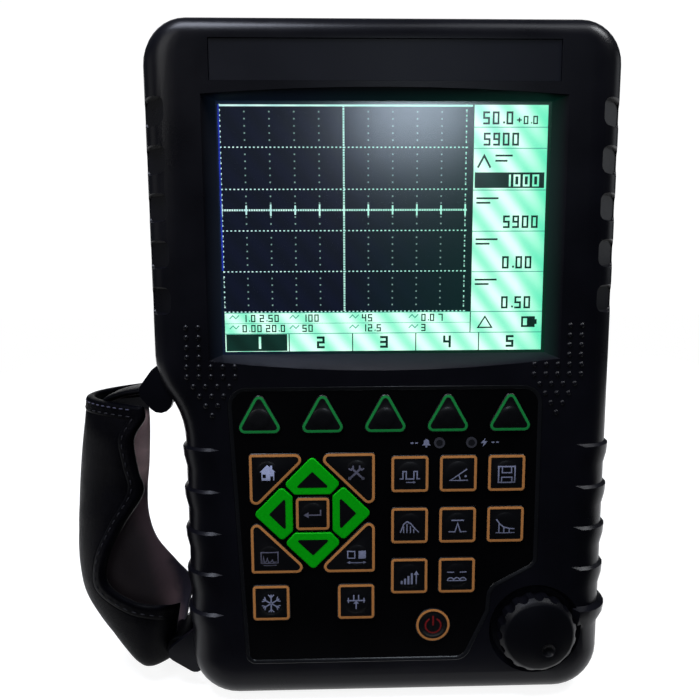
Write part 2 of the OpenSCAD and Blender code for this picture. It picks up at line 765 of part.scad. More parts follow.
// Name, kind and place of every key
key_table = concat(
    [for (i = [0:4]) [str("key_soft_", i + 1), "soft", [(i - 2) * soft_pitch, soft_z]]],
    [["key_home", "home", [cluster_x - corner_out, cluster_z + corner_up]],
        ["key_tools", "tools", [cluster_x + corner_out, cluster_z + corner_up]],
        ["key_wave", "wave", [cluster_x - corner_out, cluster_z - corner_up]],
        ["key_split", "split", [cluster_x + corner_out, cluster_z - corner_up]],
        ["key_up", "up", [cluster_x, cluster_z]],
        ["key_down", "down", [cluster_x, cluster_z]],
        ["key_left", "left", [cluster_x, cluster_z]],
        ["key_right", "right", [cluster_x, cluster_z]],
        ["key_enter", "enter", [cluster_x, cluster_z]],
        ["key_freeze", "square", [cluster_x - side_key_x, side_key_z]],
        ["key_gate", "square", [cluster_x + side_key_x, side_key_z]]],
    [for (i = [0:7]) [["key_delay", "key_angle", "key_save", "key_envelope", "key_peak",
        "key_curve", "key_gain", "key_rectify"][i], "square",
        [grid_x + (i % 3) * key_pitch_x, grid_z - floor(i / 3) * key_pitch_z]]],
    [["key_power", "power", [power_x, power_z]]]);

function key_color(kind) = kind == "soft" ? [0.1, 0.35, 0.2]
    : kind == "up" || kind == "down" || kind == "left" || kind == "right"
    ? [0.05, 0.6, 0.1] : [0.15, 0.12, 0.1];
module key_cap(key) color(key_color(key[1])) at_key(key[2])
    key_body(key_outline(key[1], 0), key_outline(key[1], -crown_in));

module keypad_overlay() color([0.06, 0.07, 0.1]) slab(pad_sunk, pad_floor) difference() {
    offset(delta = -key_fit) polygon(pad_outline);
    for (key = key_table) translate(key[2]) polygon(key_outline(key[1], key_fit));
    for (x = light_x) translate([x, lights_z]) circle(r = light_r + key_fit, $fn = 32);
}

module keypad_board() color([0.05, 0.3, 0.15])
    slab(keypad_board_d, keypad_board_d + board_t) offset(delta = -gap)
    polygon(pad_outline);

// Snap domes under the keys, drawn pressed flat so that each key has its travel
function dome_place(key) = let (reach = (arrow_base + arrow_reach) / 2)
    key[1] == "up" ? key[2] + [0, reach] : key[1] == "down" ? key[2] - [0, reach]
    : key[1] == "left" ? key[2] - [reach, 0] : key[1] == "right" ? key[2] + [reach, 0]
    : key[2];
module key_domes() color([0.8, 0.8, 0.78]) for (key = key_table)
    slab(keypad_board_d - dome_t, keypad_board_d) translate(dome_place(key))
    circle(r = dome_r, $fn = 32);

module status_lights() color([0.5, 0.5, 0.5]) for (x = light_x)
    slab(pad_sunk - light_rise, keypad_board_d) translate([x, lights_z])
    circle(r = light_r, $fn = 32);

// Knob: a fluted rim, a sloping shoulder and a flat front with a finger dimple
module knob() color([0.08, 0.08, 0.1]) translate([knob_x, face_y, knob_z])
    rotate([-90, 0, 0]) difference() {
        rotate_extrude($fn = 64) polygon([[shaft_r, knob_foot],
            [knob_r - knob_edge, knob_foot], [knob_r, knob_foot - knob_edge],
            [knob_r, knob_rim_d + knob_bevel], [knob_r - knob_bevel, knob_rim_d],
            [knob_cap_r + knob_bevel, -knob_rise + knob_bevel],
            [knob_cap_r - knob_bevel, -knob_rise], [0, -knob_rise], [0, shaft_end_d],
            [shaft_r, shaft_end_d]]);
        for (i = [0:flute_count - 1]) rotate([0, 0, i * 360 / flute_count])
            translate([knob_r + flute_out_share * flute_r, 0, -knob_rise - over])
            cylinder(r = flute_r, h = knob_foot + knob_rise + 2 * over, $fn = 24);
        translate([dimple_shares[0] * knob_cap_r, dimple_shares[1] * knob_cap_r,
            -knob_rise - dimple_up]) sphere(r = dimple_r, $fn = 40);
    }

// Encoder: a square body behind the boss with the bushing that guides the shaft
module encoder() color([0.6, 0.6, 0.62]) translate([knob_x, 0, knob_z]) difference() {
    union() {
        slab(boss_d, boss_d + encoder_t) square(encoder_w, center = true);
        slab(knob_foot + bushing_sunk, boss_d + over) circle(r = bushing_r, $fn = 48);
    }
    slab(knob_foot - over, boss_d + encoder_t - encoder_floor)
        circle(r = shaft_r + run_fit, $fn = 48);
}

module encoder_shaft() color([0.8, 0.8, 0.8]) translate([knob_x, 0, knob_z])
    slab(shaft_end_d, boss_d + encoder_t - encoder_floor - run_fit)
    circle(r = shaft_r, $fn = 48);

board_in = 5.4;
board_w = carrier_w - 2 * board_in;
board_low = 52;
board_top_in = 2;
board_high = screen_z + carrier_h / 2 - board_top_in;
module main_board() color([0.05, 0.32, 0.16]) slab(main_board_d, main_board_d + board_t)
    translate([-board_w / 2, board_low]) square([board_w, board_high - board_low]);

can_d = main_board_d + board_t;
can_w = 58;
can_h = 44;
can_t = 7;
can_in = 10;
can_top_in = 8;
module pulser_module() color([0.75, 0.76, 0.78]) slab(can_d, can_d + can_t)
    translate([-board_w / 2 + can_in, board_high - can_top_in - can_h]) square([can_w, can_h]);

buzzer_r = 6;
buzzer_t = 5;
buzzer_in = 14;
buzzer_top_in = 20;
module buzzer() color([0.05, 0.05, 0.05]) slab(can_d, can_d + buzzer_t)
    translate([board_w / 2 - buzzer_in, board_high - buzzer_top_in])
    circle(r = buzzer_r, $fn = 48);

module battery_pack() color([0.15, 0.2, 0.35]) slab(battery_d, door_d)
    translate([0, battery_z]) rounded_box(battery_w, battery_h, battery_round);

module battery_door() color([0.1, 0.11, 0.13]) difference() {
    slab(door_d, body_d) translate([0, battery_z])
        rounded_box(battery_w + 2 * door_margin, battery_h + 2 * door_margin, door_round);
    for (p = door_screw_places) {
        slab(door_d - over, body_d + over) translate(p)
            circle(r = screw_r + screw_fit, $fn = 32);
        slab(body_d - door_screw_head_t, body_d + over) translate(p)
            circle(r = screw_head_r, $fn = 32);
    }
}

// A screw that points to the front, the back of its head at depth d
module screw(d, head_t, len) difference() {
    union() {
        slab(d - head_t, d) circle(r = screw_head_r - screw_fit, $fn = 32);
        slab(d - head_t - len, d - head_t + over / 2) circle(r = screw_r, $fn = 32);
    }
    for (a = [0, 90]) rotate([0, a, 0]) slab(d - 0.8 * head_t, d + over)
        square([1.3 * screw_head_r, 0.25 * screw_head_r], center = true);
}

module door_screws() color([0.6, 0.6, 0.6]) for (p = door_screw_places)
    translate([p[0], 0, p[1]])
    screw(body_d, door_screw_head_t, door_t - door_screw_head_t + door_screw_len - gap);

module case_screws() color([0.6, 0.6, 0.6]) for (p = post_places)
    translate([p[0], 0, p[1]])
    screw(body_d - screw_sunk, screw_head_t,
        body_d - screw_sunk - screw_head_t - front_d + screw_grip);

module rear_feet() color([0.04, 0.04, 0.04]) for (p = foot_places)
    slab(body_d - foot_sunk, body_d - foot_sunk + foot_t) translate(p)
    circle(r = foot_r, $fn = 48);

// Stand: a plate with a cut-out, on two knuckles
module stand() color([0.12, 0.13, 0.15]) difference() {
    union() {
        slab(body_d - stand_t - gap, body_d - gap)
            translate([0, stand_z - stand_h / 2 + knuckle_r / 2])
            rounded_box(stand_w, stand_h - knuckle_r, stand_round);
        translate([-stand_w / 2 + bracket_w + bracket_gap, face_y + stand_axis_d, stand_z])
            rotate([0, 90, 0])
            cylinder(r = knuckle_r, h = stand_w - 2 * bracket_w - 2 * bracket_gap, $fn = 48);
    }
    for (s = [-1, 1]) translate([s * (stand_w / 2 - bracket_w / 2), 0, stand_z])
        slab(stand_axis_d - 2 * knuckle_r, body_d + over)
        square([bracket_w + 2 * bracket_gap, 4 * knuckle_r], center = true);
    slab(body_d - stand_pocket, body_d + over) translate([0, stand_z - stand_h * 0.55])
        rounded_box(stand_w * 0.6, stand_h * 0.42, stand_window_round);
    for (s = [-1, 1])
        translate([s * (stand_w / 2 - bracket_w - bracket_gap - pin_len),
            face_y + stand_axis_d, stand_z]) rotate([0, s * 90, 0])
        cylinder(r = stand_pin_r + run_fit, h = pin_len + over, $fn = 48);
}

// Two brackets screwed into the pocket, each with the pin that the stand turns on
module stand_brackets() color([0.5, 0.5, 0.52]) for (s = [-1, 1]) {
    translate([s * (stand_w / 2 - bracket_w / 2), 0, stand_z])
        slab(stand_axis_d - knuckle_r - gap, stand_axis_d + knuckle_r)
        square([bracket_w, 2 * knuckle_r], center = true);
    translate([s * (stand_w / 2 - bracket_w - pin_len), face_y + stand_axis_d, stand_z])
        rotate([0, s * 90, 0]) cylinder(r = stand_pin_r, h = pin_len + over, $fn = 48);
}

// Coaxial probe socket: flange, barrel with two bayonet lugs, centre contact
module probe_sockets() color([0.8, 0.75, 0.6]) for (x = socket_x)
    translate([x, face_y + socket_d, shelf_z]) {
        difference() {
            union() {
                cylinder(r = flange_r, h = flange_t, $fn = 48);
                translate([0, 0, -socket_tail])
                    cylinder(r = socket_r, h = socket_tail + socket_h, $fn = 48);
                for (s = [0, 180]) rotate([0, 0, s])
                    translate([0, 0, socket_h - lug_down]) rotate([90, 0, 0])
                    cylinder(r = lug_r, h = socket_r + lug_out, $fn = 24);
            }
            translate([0, 0, socket_floor])
                cylinder(r = socket_r - socket_wall, h = socket_h, $fn = 48);
        }
        translate([0, 0, socket_floor - over])
            cylinder(r = contact_r, h = socket_h - socket_floor - contact_short, $fn = 24);
    }

module charge_jack() color([0.1, 0.1, 0.1]) translate([jack_x, face_y + socket_d, shelf_z])
    difference() {
        translate([0, 0, -jack_tail]) cylinder(r = jack_r, h = jack_tail, $fn = 48);
        translate([0, 0, port_floor - jack_tail])
            cylinder(r = jack_r - port_wall, h = jack_tail, $fn = 48);
    }

module data_port() color([0.7, 0.7, 0.7]) translate([port_x, face_y + socket_d, shelf_z])
    difference() {
        translate([-port_w / 2, -port_t / 2, -port_tail]) cube([port_w, port_t, port_tail]);
        translate([port_wall - port_w / 2, port_wall - port_t / 2, port_floor - port_tail])
            cube([port_w - 2 * port_wall, port_t - 2 * port_wall, port_tail]);
    }

// Rubber cover over the two ports, hinged along its back edge
cover_depth = shelf_depth - 2 * cover_in;
cover_axis = [cover_x, face_y + socket_d + cover_depth / 2 - cover_hinge_r,
    shelf_z + gap + cover_hinge_r];
module port_cover() color([0.05, 0.05, 0.06]) {
    translate([cover_x - cover_w / 2, face_y + socket_d - cover_depth / 2, shelf_z + gap])
        cube([cover_w, cover_depth - cover_hinge_r, cover_t]);
    translate([cover_x - cover_w / 2, cover_axis[1], cover_axis[2]])
        rotate([0, 90, 0]) cylinder(r = cover_hinge_r, h = cover_w, $fn = 32);
}

// Anchor: two ears and a bar on a saddle that lies on the side of the housing
module anchor(bar, feet, ear_r) difference() {
    union() {
        for (d = [anchor_d, anchor_d + ear_t + bar_len]) slab(d, d + ear_t)
            polygon(round_hull([bar, bar + ear_span * feet[0], bar + ear_span * feet[1]],
                ear_r));
        slab(anchor_d + over, anchor_d + 2 * ear_t + bar_len - over) translate(bar)
            circle(r = bar_r, $fn = 48);
    }
    slab(-over, front_d + over) housing_outline(-touch);
}
module upper_anchor() color([0.07, 0.07, 0.08])
    anchor(upper_bar, upper_foot_shares, upper_ear_r);
module lower_anchor() color([0.07, 0.07, 0.08])
    anchor(lower_bar, lower_foot_shares, lower_ear_r);

// Hand strap. Each station has its front edge, its outermost line and its rear edge,
// as shares of the strap's reach, drop and depth, from its open mouth at the top down
// to the lower anchor.
front_shares = [[.32, .112, .14], [.31, .148, .13], [.395, .21, .12],
    [.37, .3, .12], [.34, .37, .12], [.5, .47, .12], [.63, .57, .12], [.65, .66, .12],
    [.44, .72, .12], [.22, .735, .13], [.13, .76, .25]];
belly_shares = [[.845, .1, .44], [.857, .14, .44], [.875, .2, .44],
    [.91, .28, .45], [.945, .4, .45], [.96, .52, .45], [.94, .64, .44],
    [.85, .755, .42], [.66, .865, .34], [.42, .965, .25], [.2, .945, .29]];
rear_shares = [[.5, .088, .78], [.5, .15, .8], [.5, .23, .82],
    [.53, .37, .85], [.56, .47, .86], [.56, .57, .86], [.49, .66, .85], [.31, .735, .8],
    [.14, .79, .71], [.13, .845, .56], [.14, .88, .47]];
strap_steps = 4;
strap_across = 7;
// Belt from the upper bar into the mouth: its middle line as shares of the strap's
// reach, drop and depth, and half its width as a share of the bar's length
belt_shares = [[.25, .07, .368, .46], [.5, .085, .375, .38], [.68, .12, .4, .28],
    [.79, .2, .44, .18]];
function strap_point(s) = [waist_x - strap_reach * s[0], face_y + strap_deep * s[2],
    strap_z - strap_drop * s[1]];
// Smooth line through a list of points, at segment i and share u
function smooth(list, i, u) =
    let (a = list[max(i - 1, 0)], b = list[i], c = list[min(i + 1, len(list) - 1)],
        d = list[min(i + 2, len(list) - 1)])
    0.5 * (2 * b + (c - a) * u + (2 * a - 5 * b + 4 * c - d) * u * u
        + (3 * b - 3 * c + d - a) * u * u * u);
function strap_line(shares) = let (pts = [for (s = shares) strap_point(s)])
    [for (k = [0:(len(pts) - 1) * strap_steps])
        let (i = min(floor(k / strap_steps), len(pts) - 2)) smooth(pts, i, k / strap_steps - i)];
strap_front = strap_line(front_shares);
strap_belly = strap_line(belly_shares);
strap_rear = strap_line(rear_shares);
// Outer skin at ring k and share w across it, and the same point moved inward by t
function strap_skin(k, w, t) =
    let (a = (strap_rear[k] - strap_front[k]) / 2,
        b = (strap_rear[k] + strap_front[k]) / 2 - strap_belly[k],
        along = unit(a + 2 * b * w))
    strap_belly[k] + a * w + b * w * w + t * unit(b - (b * along) * along);
function strap_ring(k) = concat(
    [for (j = [0:strap_across]) strap_skin(k, -1 + 2 * j / strap_across, 0)],
    [for (j = [strap_across:-1:0]) strap_skin(k, -1 + 2 * j / strap_across, strap_t)]);
module strap_band() {
    rings = [for (k = [0:len(strap_belly) - 1]) strap_ring(k)];
    n = len(rings[0]);
    last = len(rings) - 1;
    polyhedron(
        points = [for (ring = rings) each ring],
        faces = concat(
            [for (j = [0:n / 2 - 2]) each [[j, j + 1, n - 1 - j], [j + 1, n - 2 - j, n - 1 - j]]],
            [for (k = [0:last - 1], i = [0:n - 1])
                [k * n + i, (k + 1) * n + i, (k + 1) * n + (i + 1) % n]],
            [for (k = [0:last - 1], i = [0:n - 1])
                [k * n + i, (k + 1) * n + (i + 1) % n, k * n + (i + 1) % n]],
            [for (j = [0:n / 2 - 2]) each [
                [last * n + j, last * n + n - 1 - j, last * n + j + 1],
                [last * n + j + 1, last * n + n - 1 - j, last * n + n - 2 - j]]]));
}
module strap_loop(bar) slab(anchor_d + ear_t + gap, anchor_d + ear_t + bar_len - gap)
    translate(bar) circle(r = loop_r, $fn = 40);
module belt_edge(s) slab(strap_deep * s[2] - bar_len * s[3], strap_deep * s[2] + bar_len * s[3])
    translate([waist_x - strap_reach * s[0], strap_z - strap_drop * s[1]])
    circle(d = strap_t, $fn = 12);
module hand_strap() color([0.06, 0.05, 0.06]) difference() {
    union() {
        strap_band();
        for (i = [0:len(belt_shares) - 2]) hull() {
            belt_edge(belt_shares[i]);
            belt_edge(belt_shares[i + 1]);
        }
        strap_loop(upper_bar);
        strap_loop(lower_bar);
    }
    for (bar = [upper_bar, lower_bar]) slab(0, front_d) translate(bar)
        circle(r = bar_r + gap, $fn = 40);
}

front_shell();
rear_shell();
shell_seal();
name_inlay();
display_window();
display_module();
display_carrier();
keypad_overlay();
keypad_board();
key_domes();
status_lights();
for (key = key_table) key_cap(key);
knob();
encoder();
encoder_shaft();
main_board();
pulser_module();
buzzer();
battery_pack();
battery_door();
door_screws();
case_screws();
rear_feet();
stand();
stand_brackets();
probe_sockets();
charge_jack();
data_port();
port_cover();
upper_anchor();
lower_anchor();
hand_strap();
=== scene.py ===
import math

import bmesh
import bpy
import numpy as np
from mathutils import Matrix, Vector
from mathutils.geometry import tessellate_polygon


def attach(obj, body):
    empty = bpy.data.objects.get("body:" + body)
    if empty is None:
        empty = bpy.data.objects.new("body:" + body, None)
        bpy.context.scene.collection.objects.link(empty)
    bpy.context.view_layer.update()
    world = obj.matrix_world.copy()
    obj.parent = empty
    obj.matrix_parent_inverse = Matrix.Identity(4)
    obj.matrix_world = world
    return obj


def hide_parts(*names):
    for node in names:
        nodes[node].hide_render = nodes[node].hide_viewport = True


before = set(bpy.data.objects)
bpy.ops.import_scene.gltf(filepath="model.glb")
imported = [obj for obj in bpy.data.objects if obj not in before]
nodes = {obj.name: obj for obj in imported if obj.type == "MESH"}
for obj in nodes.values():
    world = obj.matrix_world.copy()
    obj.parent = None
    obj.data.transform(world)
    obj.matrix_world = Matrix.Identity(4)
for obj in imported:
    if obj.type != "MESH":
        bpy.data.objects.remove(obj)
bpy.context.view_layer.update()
scene = bpy.context.scene

# In millimetres: the front face, the display's middle and the keypad's upper edge
MM = 0.001
FACE_Y = -28.0
SCREEN_Z = 177.5
PAD_TOP = SCREEN_Z - 55.3
BLACK = (0.0, 0.0, 0.0)


def at(x, z, d):
    """A point from millimetres: x to the right, z up, d behind the front face."""
    return Vector((x * MM, (FACE_Y + d) * MM, z * MM))


def times(color, k):
    return tuple(c * k for c in color)


# Shader kit
class Val:
    """A shader socket with arithmetic."""

    def __init__(self, tree, sock):
        self.tree, self.sock = tree, sock

    def _do(self, op, a, b):
        return self.tree.node("ShaderNodeMath", {0: a, 1: b}, operation=op)

    def __add__(self, o): return self._do("ADD", self, o)
    def __sub__(self, o): return self._do("SUBTRACT", self, o)
    def __rsub__(self, o): return self._do("SUBTRACT", o, self)
    def __mul__(self, o): return self._do("MULTIPLY", self, o)
    def __rmul__(self, o): return self._do("MULTIPLY", o, self)
    def __lt__(self, o): return self._do("LESS_THAN", self, o)
    def __gt__(self, o): return self._do("GREATER_THAN", self, o)


class Tree:
    """A node tree; node() makes a node, fills its inputs and gives one output."""

    def __init__(self, tree):
        self.nodes, self.links = tree.nodes, tree.links

    def node(self, kind, ins=None, out=0, **props):
        n = self.nodes.new(kind)
        for k, v in props.items():
            setattr(n, k, v)
        for k, v in (ins or {}).items():
            self.put(n.inputs[k], v)
        return Val(self, n.outputs[out]) if n.outputs else None

    def put(self, socket, v):
        if isinstance(v, Val):
            self.links.new(v.sock, socket)
        elif socket.type == "RGBA":
            socket.default_value = (*v, 1.0)
        else:
            socket.default_value = v


def empty_tree(owner):
    """The cleared node tree of a material or world."""
    owner.use_nodes = True
    owner.node_tree.nodes.clear()
    return Tree(owner.node_tree)


class Paint(Tree):
    """A material with one Principled shader, new or copied from base."""

    def __init__(self, name, base=None, **fixed):
        self.m = base.copy() if base else bpy.data.materials.new(name)
        self.m.name = name
        self.m.use_nodes = True
        super().__init__(self.m.node_tree)
        if base:
            self.bsdf = next(n for n in self.nodes if n.type == "BSDF_PRINCIPLED")
        else:
            self.nodes.clear()
            shader = self.node("ShaderNodeBsdfPrincipled")
            self.bsdf = shader.sock.node
            self.node("ShaderNodeOutputMaterial", {0: shader})
        self.set(**fixed)

    def set(self, **ins):
        for k, v in ins.items():
            self.put(self.bsdf.inputs[k.replace("_", " ").title().replace("Ior", "IOR")], v)

    def place(self):
        """Object coordinates, in millimetres."""
        co = self.node("ShaderNodeTexCoord", out="Object")
        return self.node("ShaderNodeVectorMath", {0: co, 3: 1 / MM}, operation="SCALE")

    def axis(self, vec, i):
        return self.node("ShaderNodeSeparateXYZ", {0: vec}, out=i)

    def noise(self, vec, scale, detail=2.0, rough=0.5, distort=0.0):
        return self.node("ShaderNodeTexNoise", {"Vector": vec, "Scale": scale, "Detail": detail,
                                                 "Roughness": rough, "Distortion": distort})

    def fit(self, v, a, b, c=0.0, d=1.0, smooth=False):
        return self.node("ShaderNodeMapRange", {0: v, 1: a, 2: b, 3: c, 4: d},
                         interpolation_type="SMOOTHSTEP" if smooth else "LINEAR")

    def mix(self, f, a, b):
        return self.node("ShaderNodeMix", {0: f, 6: a, 7: b}, out=2, data_type="RGBA")

    def bump(self, height, distance, strength):
        return self.node("ShaderNodeBump", {"Height": height, "Distance": distance * MM,
                                            "Strength": strength})


def srgb(r, g, b):
    return tuple((c / 255 / 12.92) if c <= 10 else ((c / 255 + 0.055) / 1.055) ** 2.4
                 for c in (r, g, b))


def plastic(name, color, rough, spec=0.5, wear_and_painted_shade=0.2, grain=0.0, grain_size=1.0):
    """Moulded plastic with uneven wear; grain is the depth of its texture."""
    p = Paint(name, specular_ior_level=spec)
    v = p.place()
    big = p.noise(v, 0.035, 3.0)
    fine = p.noise(v, grain_size, 3.0, 0.6)
    p.set(base_color=p.mix(p.fit(big, 0.35, 0.65), times(color, 1 - wear_and_painted_shade), times(color, 1 + wear_and_painted_shade)),
          roughness=p.fit(big + 0.5 * fine, 0.4, 1.1, rough - 0.06, rough + 0.08))
    if grain:
        p.set(normal=p.bump(fine, grain, 0.5))
    return p.m


def flat_paint(name, color, rough):
    p = Paint(name, specular_ior_level=0.12)
    n = p.noise(p.place(), 1.3, 4.0, 0.65)
    p.set(base_color=p.mix(p.fit(n, 0.3, 0.7), times(color, 0.8), color),
          roughness=p.fit(n, 0.3, 0.7, rough - 0.05, rough + 0.07))
    return p.m


def metal(name, color, rough):
    p = Paint(name, metallic=1.0)
    n = p.noise(p.place(), 1.0, 5.0, 0.6)
    p.set(base_color=p.mix(n, times(color, 0.75), color),
          roughness=p.fit(n, 0.3, 0.7, rough - 0.08, rough + 0.12))
    return p.m


def lit_panel(name, a, b, right=None, span=(0.0, 31.0), strength=1.0):
    """A lit display surface with slanting bands from a to b, tinted towards the right."""
    p = Paint(name, roughness=0.5, specular_ior_level=0.05, emission_strength=strength)
    v = p.place()
    slant = p.axis(v, 0) * 0.62 + p.axis(v, 2) * 0.5
    wave = p.node("ShaderNodeMath", {0: slant}, operation="SINE")
    tone = p.mix(p.fit(wave + p.noise(v, 0.05, 2.0) * 1.4, -0.6, 1.8), a, b)
    if right:
        tone = p.mix(p.fit(p.axis(v, 0), *span), tone, right)
    p.set(base_color=p.mix(0.94, tone, BLACK), emission_color=tone)
    return p.m


def pane_glass(name):
    """Clear cover: lets the display through and mirrors the lights softly."""
    m = bpy.data.materials.new(name)
    t = empty_tree(m)
    facing = t.node("ShaderNodeFresnel", {0: 1.56})
    clear = t.node("ShaderNodeBsdfTransparent", {0: (0.93, 0.95, 0.95)})
    gloss = t.node("ShaderNodeBsdfGlossy", {0: (0.9, 0.93, 1), "Roughness": 0.21})
    both = t.node("ShaderNodeMixShader", {0: facing, 1: clear, 2: gloss})
    t.node("ShaderNodeOutputMaterial", {0: both})
    return m


def leather(name, color, rough):
    p = Paint(name, specular_ior_level=0.02)
    v = p.place()
    grain = p.node("ShaderNodeTexVoronoi", {"Vector": v, "Scale": 1.5}, feature="DISTANCE_TO_EDGE")
    fold = p.noise(v, 0.11, 4.0, 0.55, 0.6)
    fine = p.noise(v, 3.0, 3.0, 0.6)
    height = p.fit(grain, 0.0, 0.18) * 0.5 + fine * 0.4 + fold * 2.0
    p.set(base_color=p.mix(p.fit(fold, 0.3, 0.7), times(color, 0.55), color),
          roughness=p.fit(fold + fine * 0.4, 0.4, 1.0, rough - 0.08, rough + 0.14),
          normal=p.bump(height, 0.11, 0.7))
    return p.m


def suede(name, color, wear_and_painted_shade, band, shade_side, hidden):
    """Napped lining with painted light and shade: pale as painted light by the hand, painted shade
    below with a slanting painted highlight band and a painted shaded side, and painted shade at
    the mouth and at the lower end. All limits are millimetres."""
    p = Paint(name, specular_ior_level=0.2, sheen_weight=0.3, sheen_roughness=0.5)
    v = p.place()
    nap = p.noise(v, 2.2, 5.0, 0.7)
    shade = p.noise(v, 0.12, 3.0, 0.5, 0.8)
    tone = p.mix(p.fit(shade + nap * 0.5, 0.45, 1.05), times(color, 0.6), color)
    x, z = p.axis(v, 0), p.axis(v, 2)
    # Painted light and shade: painted shade low on the lining, a painted highlight band along a
    # slanting line, a painted shaded side right of it, painted shade at the bottom and at the
    # mouth, and the pale painted lit patch between z 78 and 102.
    off = x + 106.0 - (66.0 - z) * 0.43 + (shade - 0.5) * 5.0
    low = p.mix(p.fit(off, -7.0, -1.0, smooth=True), wear_and_painted_shade, band)
    low = p.mix(p.fit(off, 0.5, 6.0, smooth=True), low, shade_side)
    low = p.mix(p.fit(z, 10.0, 26.0, smooth=True), hidden, low)
    low = p.mix(p.fit(z, 66.0, 78.0, smooth=True), low, tone)
    p.set(base_color=p.mix(p.fit(z, 102.0, 105.5, smooth=True), low, hidden),
          roughness=p.fit(nap, 0.3, 0.7, 0.8, 0.98), normal=p.bump(nap + shade * 1.5, 0.2, 0.6))
    return p.m


HOUSING = plastic("housing_plastic", srgb(8, 8, 13), 0.3, 0.1, 0.2, 0.04, 2.4)
INLAY = plastic("inlay_plastic", srgb(9, 10, 18), 0.38, 0.13, 0.15, 0.02, 1.6)
OVERLAY = plastic("overlay_print", srgb(3, 3, 4), 0.45, 0.025, 0.15, 0.02, 3.2)
RIM = plastic("overlay_rim_gloss", srgb(6, 6, 9), 0.22, 0.55, 0.15)
KEY_DARK = plastic("key_print_dark", srgb(3, 3, 5), 0.3, 0.34, 0.1)
ORANGE = flat_paint("key_print_orange", srgb(176, 118, 66), 0.42)
GREEN = flat_paint("key_print_green", srgb(24, 124, 58), 0.42)
BRIGHT = flat_paint("key_print_bright_green", srgb(0, 160, 10), 0.42)
ICON = flat_paint("key_print_icon", srgb(120, 124, 148), 0.45)
ICON_PALE = flat_paint("key_print_icon_pale", srgb(166, 174, 208), 0.45)
ICON_DIM = flat_paint("key_print_icon_dim", srgb(88, 88, 104), 0.45)
ICON_RED = flat_paint("key_print_icon_red", srgb(104, 20, 22), 0.45)
KNOB = plastic("knob_plastic", srgb(3, 3, 6), 0.38, 0.14, 0.2, 0.02, 3.0)
RUBBER = plastic("rubber_black", srgb(22, 22, 23), 0.65, 0.5, 0.2, 0.03, 3.0)
SMOKED = plastic("light_smoked", srgb(48, 48, 54), 0.25, 0.2, 0.3)
LAMP_CORE = plastic("light_core", srgb(18, 18, 22), 0.2, 0.3, 0.3)
STEEL = metal("steel_zinc", srgb(150, 150, 150), 0.35)
NICKEL = metal("nickel_plate", srgb(190, 186, 176), 0.22)
TIN = metal("tinned_can", srgb(180, 182, 186), 0.3)
CAST = metal("cast_frame", srgb(140, 142, 146), 0.45)
BOARD = plastic("board_mask", srgb(12, 84, 44), 0.3)
WRAP = plastic("cell_wrap", srgb(30, 46, 84), 0.35)
PANE = pane_glass("window_clear")
LCD_BLACK = plastic("module_black", srgb(8, 9, 11), 0.35)
LCD_PALE = lit_panel("display_lit", (0.2, 0.7, 0.47), (0.64, 0.97, 0.8),
                     (0.06, 0.64, 0.36), (48.0, 60.0), 1.6)
LCD_DARK = lit_panel("display_unlit", (0.001, 0.003, 0.011), (0.002, 0.004, 0.018),
                     (0.001, 0.019, 0.018), (-15.0, 31.0))
LCD_LINE = lit_panel("display_line", (0.46, 0.74, 0.74), (0.66, 0.9, 0.86),
                     (0.36, 0.86, 0.66), (-50.0, 31.0), 1.3)
LCD_DIM = lit_panel("display_dot", (0.2, 0.34, 0.32), (0.26, 0.42, 0.38))
LCD_RULE = lit_panel("display_rule", (0.06, 0.42, 0.3), (0.1, 0.5, 0.36))
LCD_INK = lit_panel("display_ink", (0.002, 0.022, 0.015), (0.004, 0.036, 0.026))
MASK = lit_panel("display_mask", (0.002, 0.007, 0.022), (0.003, 0.009, 0.028),
                 (0.001, 0.026, 0.013), (-58.0, 20.0))
LCD_BLUE = lit_panel("display_edge_light", (0.01, 0.03, 0.42), (0.02, 0.05, 0.6))
LEATHER = leather("strap_leather", srgb(4, 4, 7), 0.34)
# The lining's colours are painted light and shade: a pale lit patch, painted shade below, a
# painted highlight band, a painted shaded side and painted shade where it is hidden.
LINING = suede("strap_lining", srgb(240, 204, 200), srgb(80, 70, 72), srgb(104, 84, 88),
               srgb(34, 30, 42), srgb(14, 13, 17))
THREAD = flat_paint("strap_thread", srgb(22, 22, 27), 0.6)
# The mouth's stitches are real thread, made paler than the rest as a painted highlight on the lip.
THREAD_PAINTED_HIGHLIGHT = flat_paint("mouth_thread_painted_highlight", srgb(62, 62, 80), 0.5)


def with_painted_spill(base, half_w=66.0, half_h=52.0):
    """The housing's plastic with the display's light painted on the walls of its recess, as a
    glow.
    """
    p = Paint("housing_painted_display_glow", base)
    v = p.place()
    x, y, z = (p.axis(v, i) for i in range(3))
    up = z - SCREEN_Z
    inside = ((x > -half_w) * (x < half_w) * (up > -half_h) * (up < half_h)
              * p.fit(y, FACE_Y + 0.3, FACE_Y + 4.5))
    # painted light: an emitted glow standing in for the display's light on the recess walls,
    # greener to the right
    glow = p.mix(p.fit(x, -30.0, 40.0), (0.002, 0.004, 0.008), (0.0015, 0.013, 0.009))
    rough = Val(p, p.bsdf.inputs["Roughness"].links[0].from_socket)
    p.set(emission_color=p.mix(inside, BLACK, glow), emission_strength=1.0,
          roughness=rough + 0.2 * inside)
    return p.m


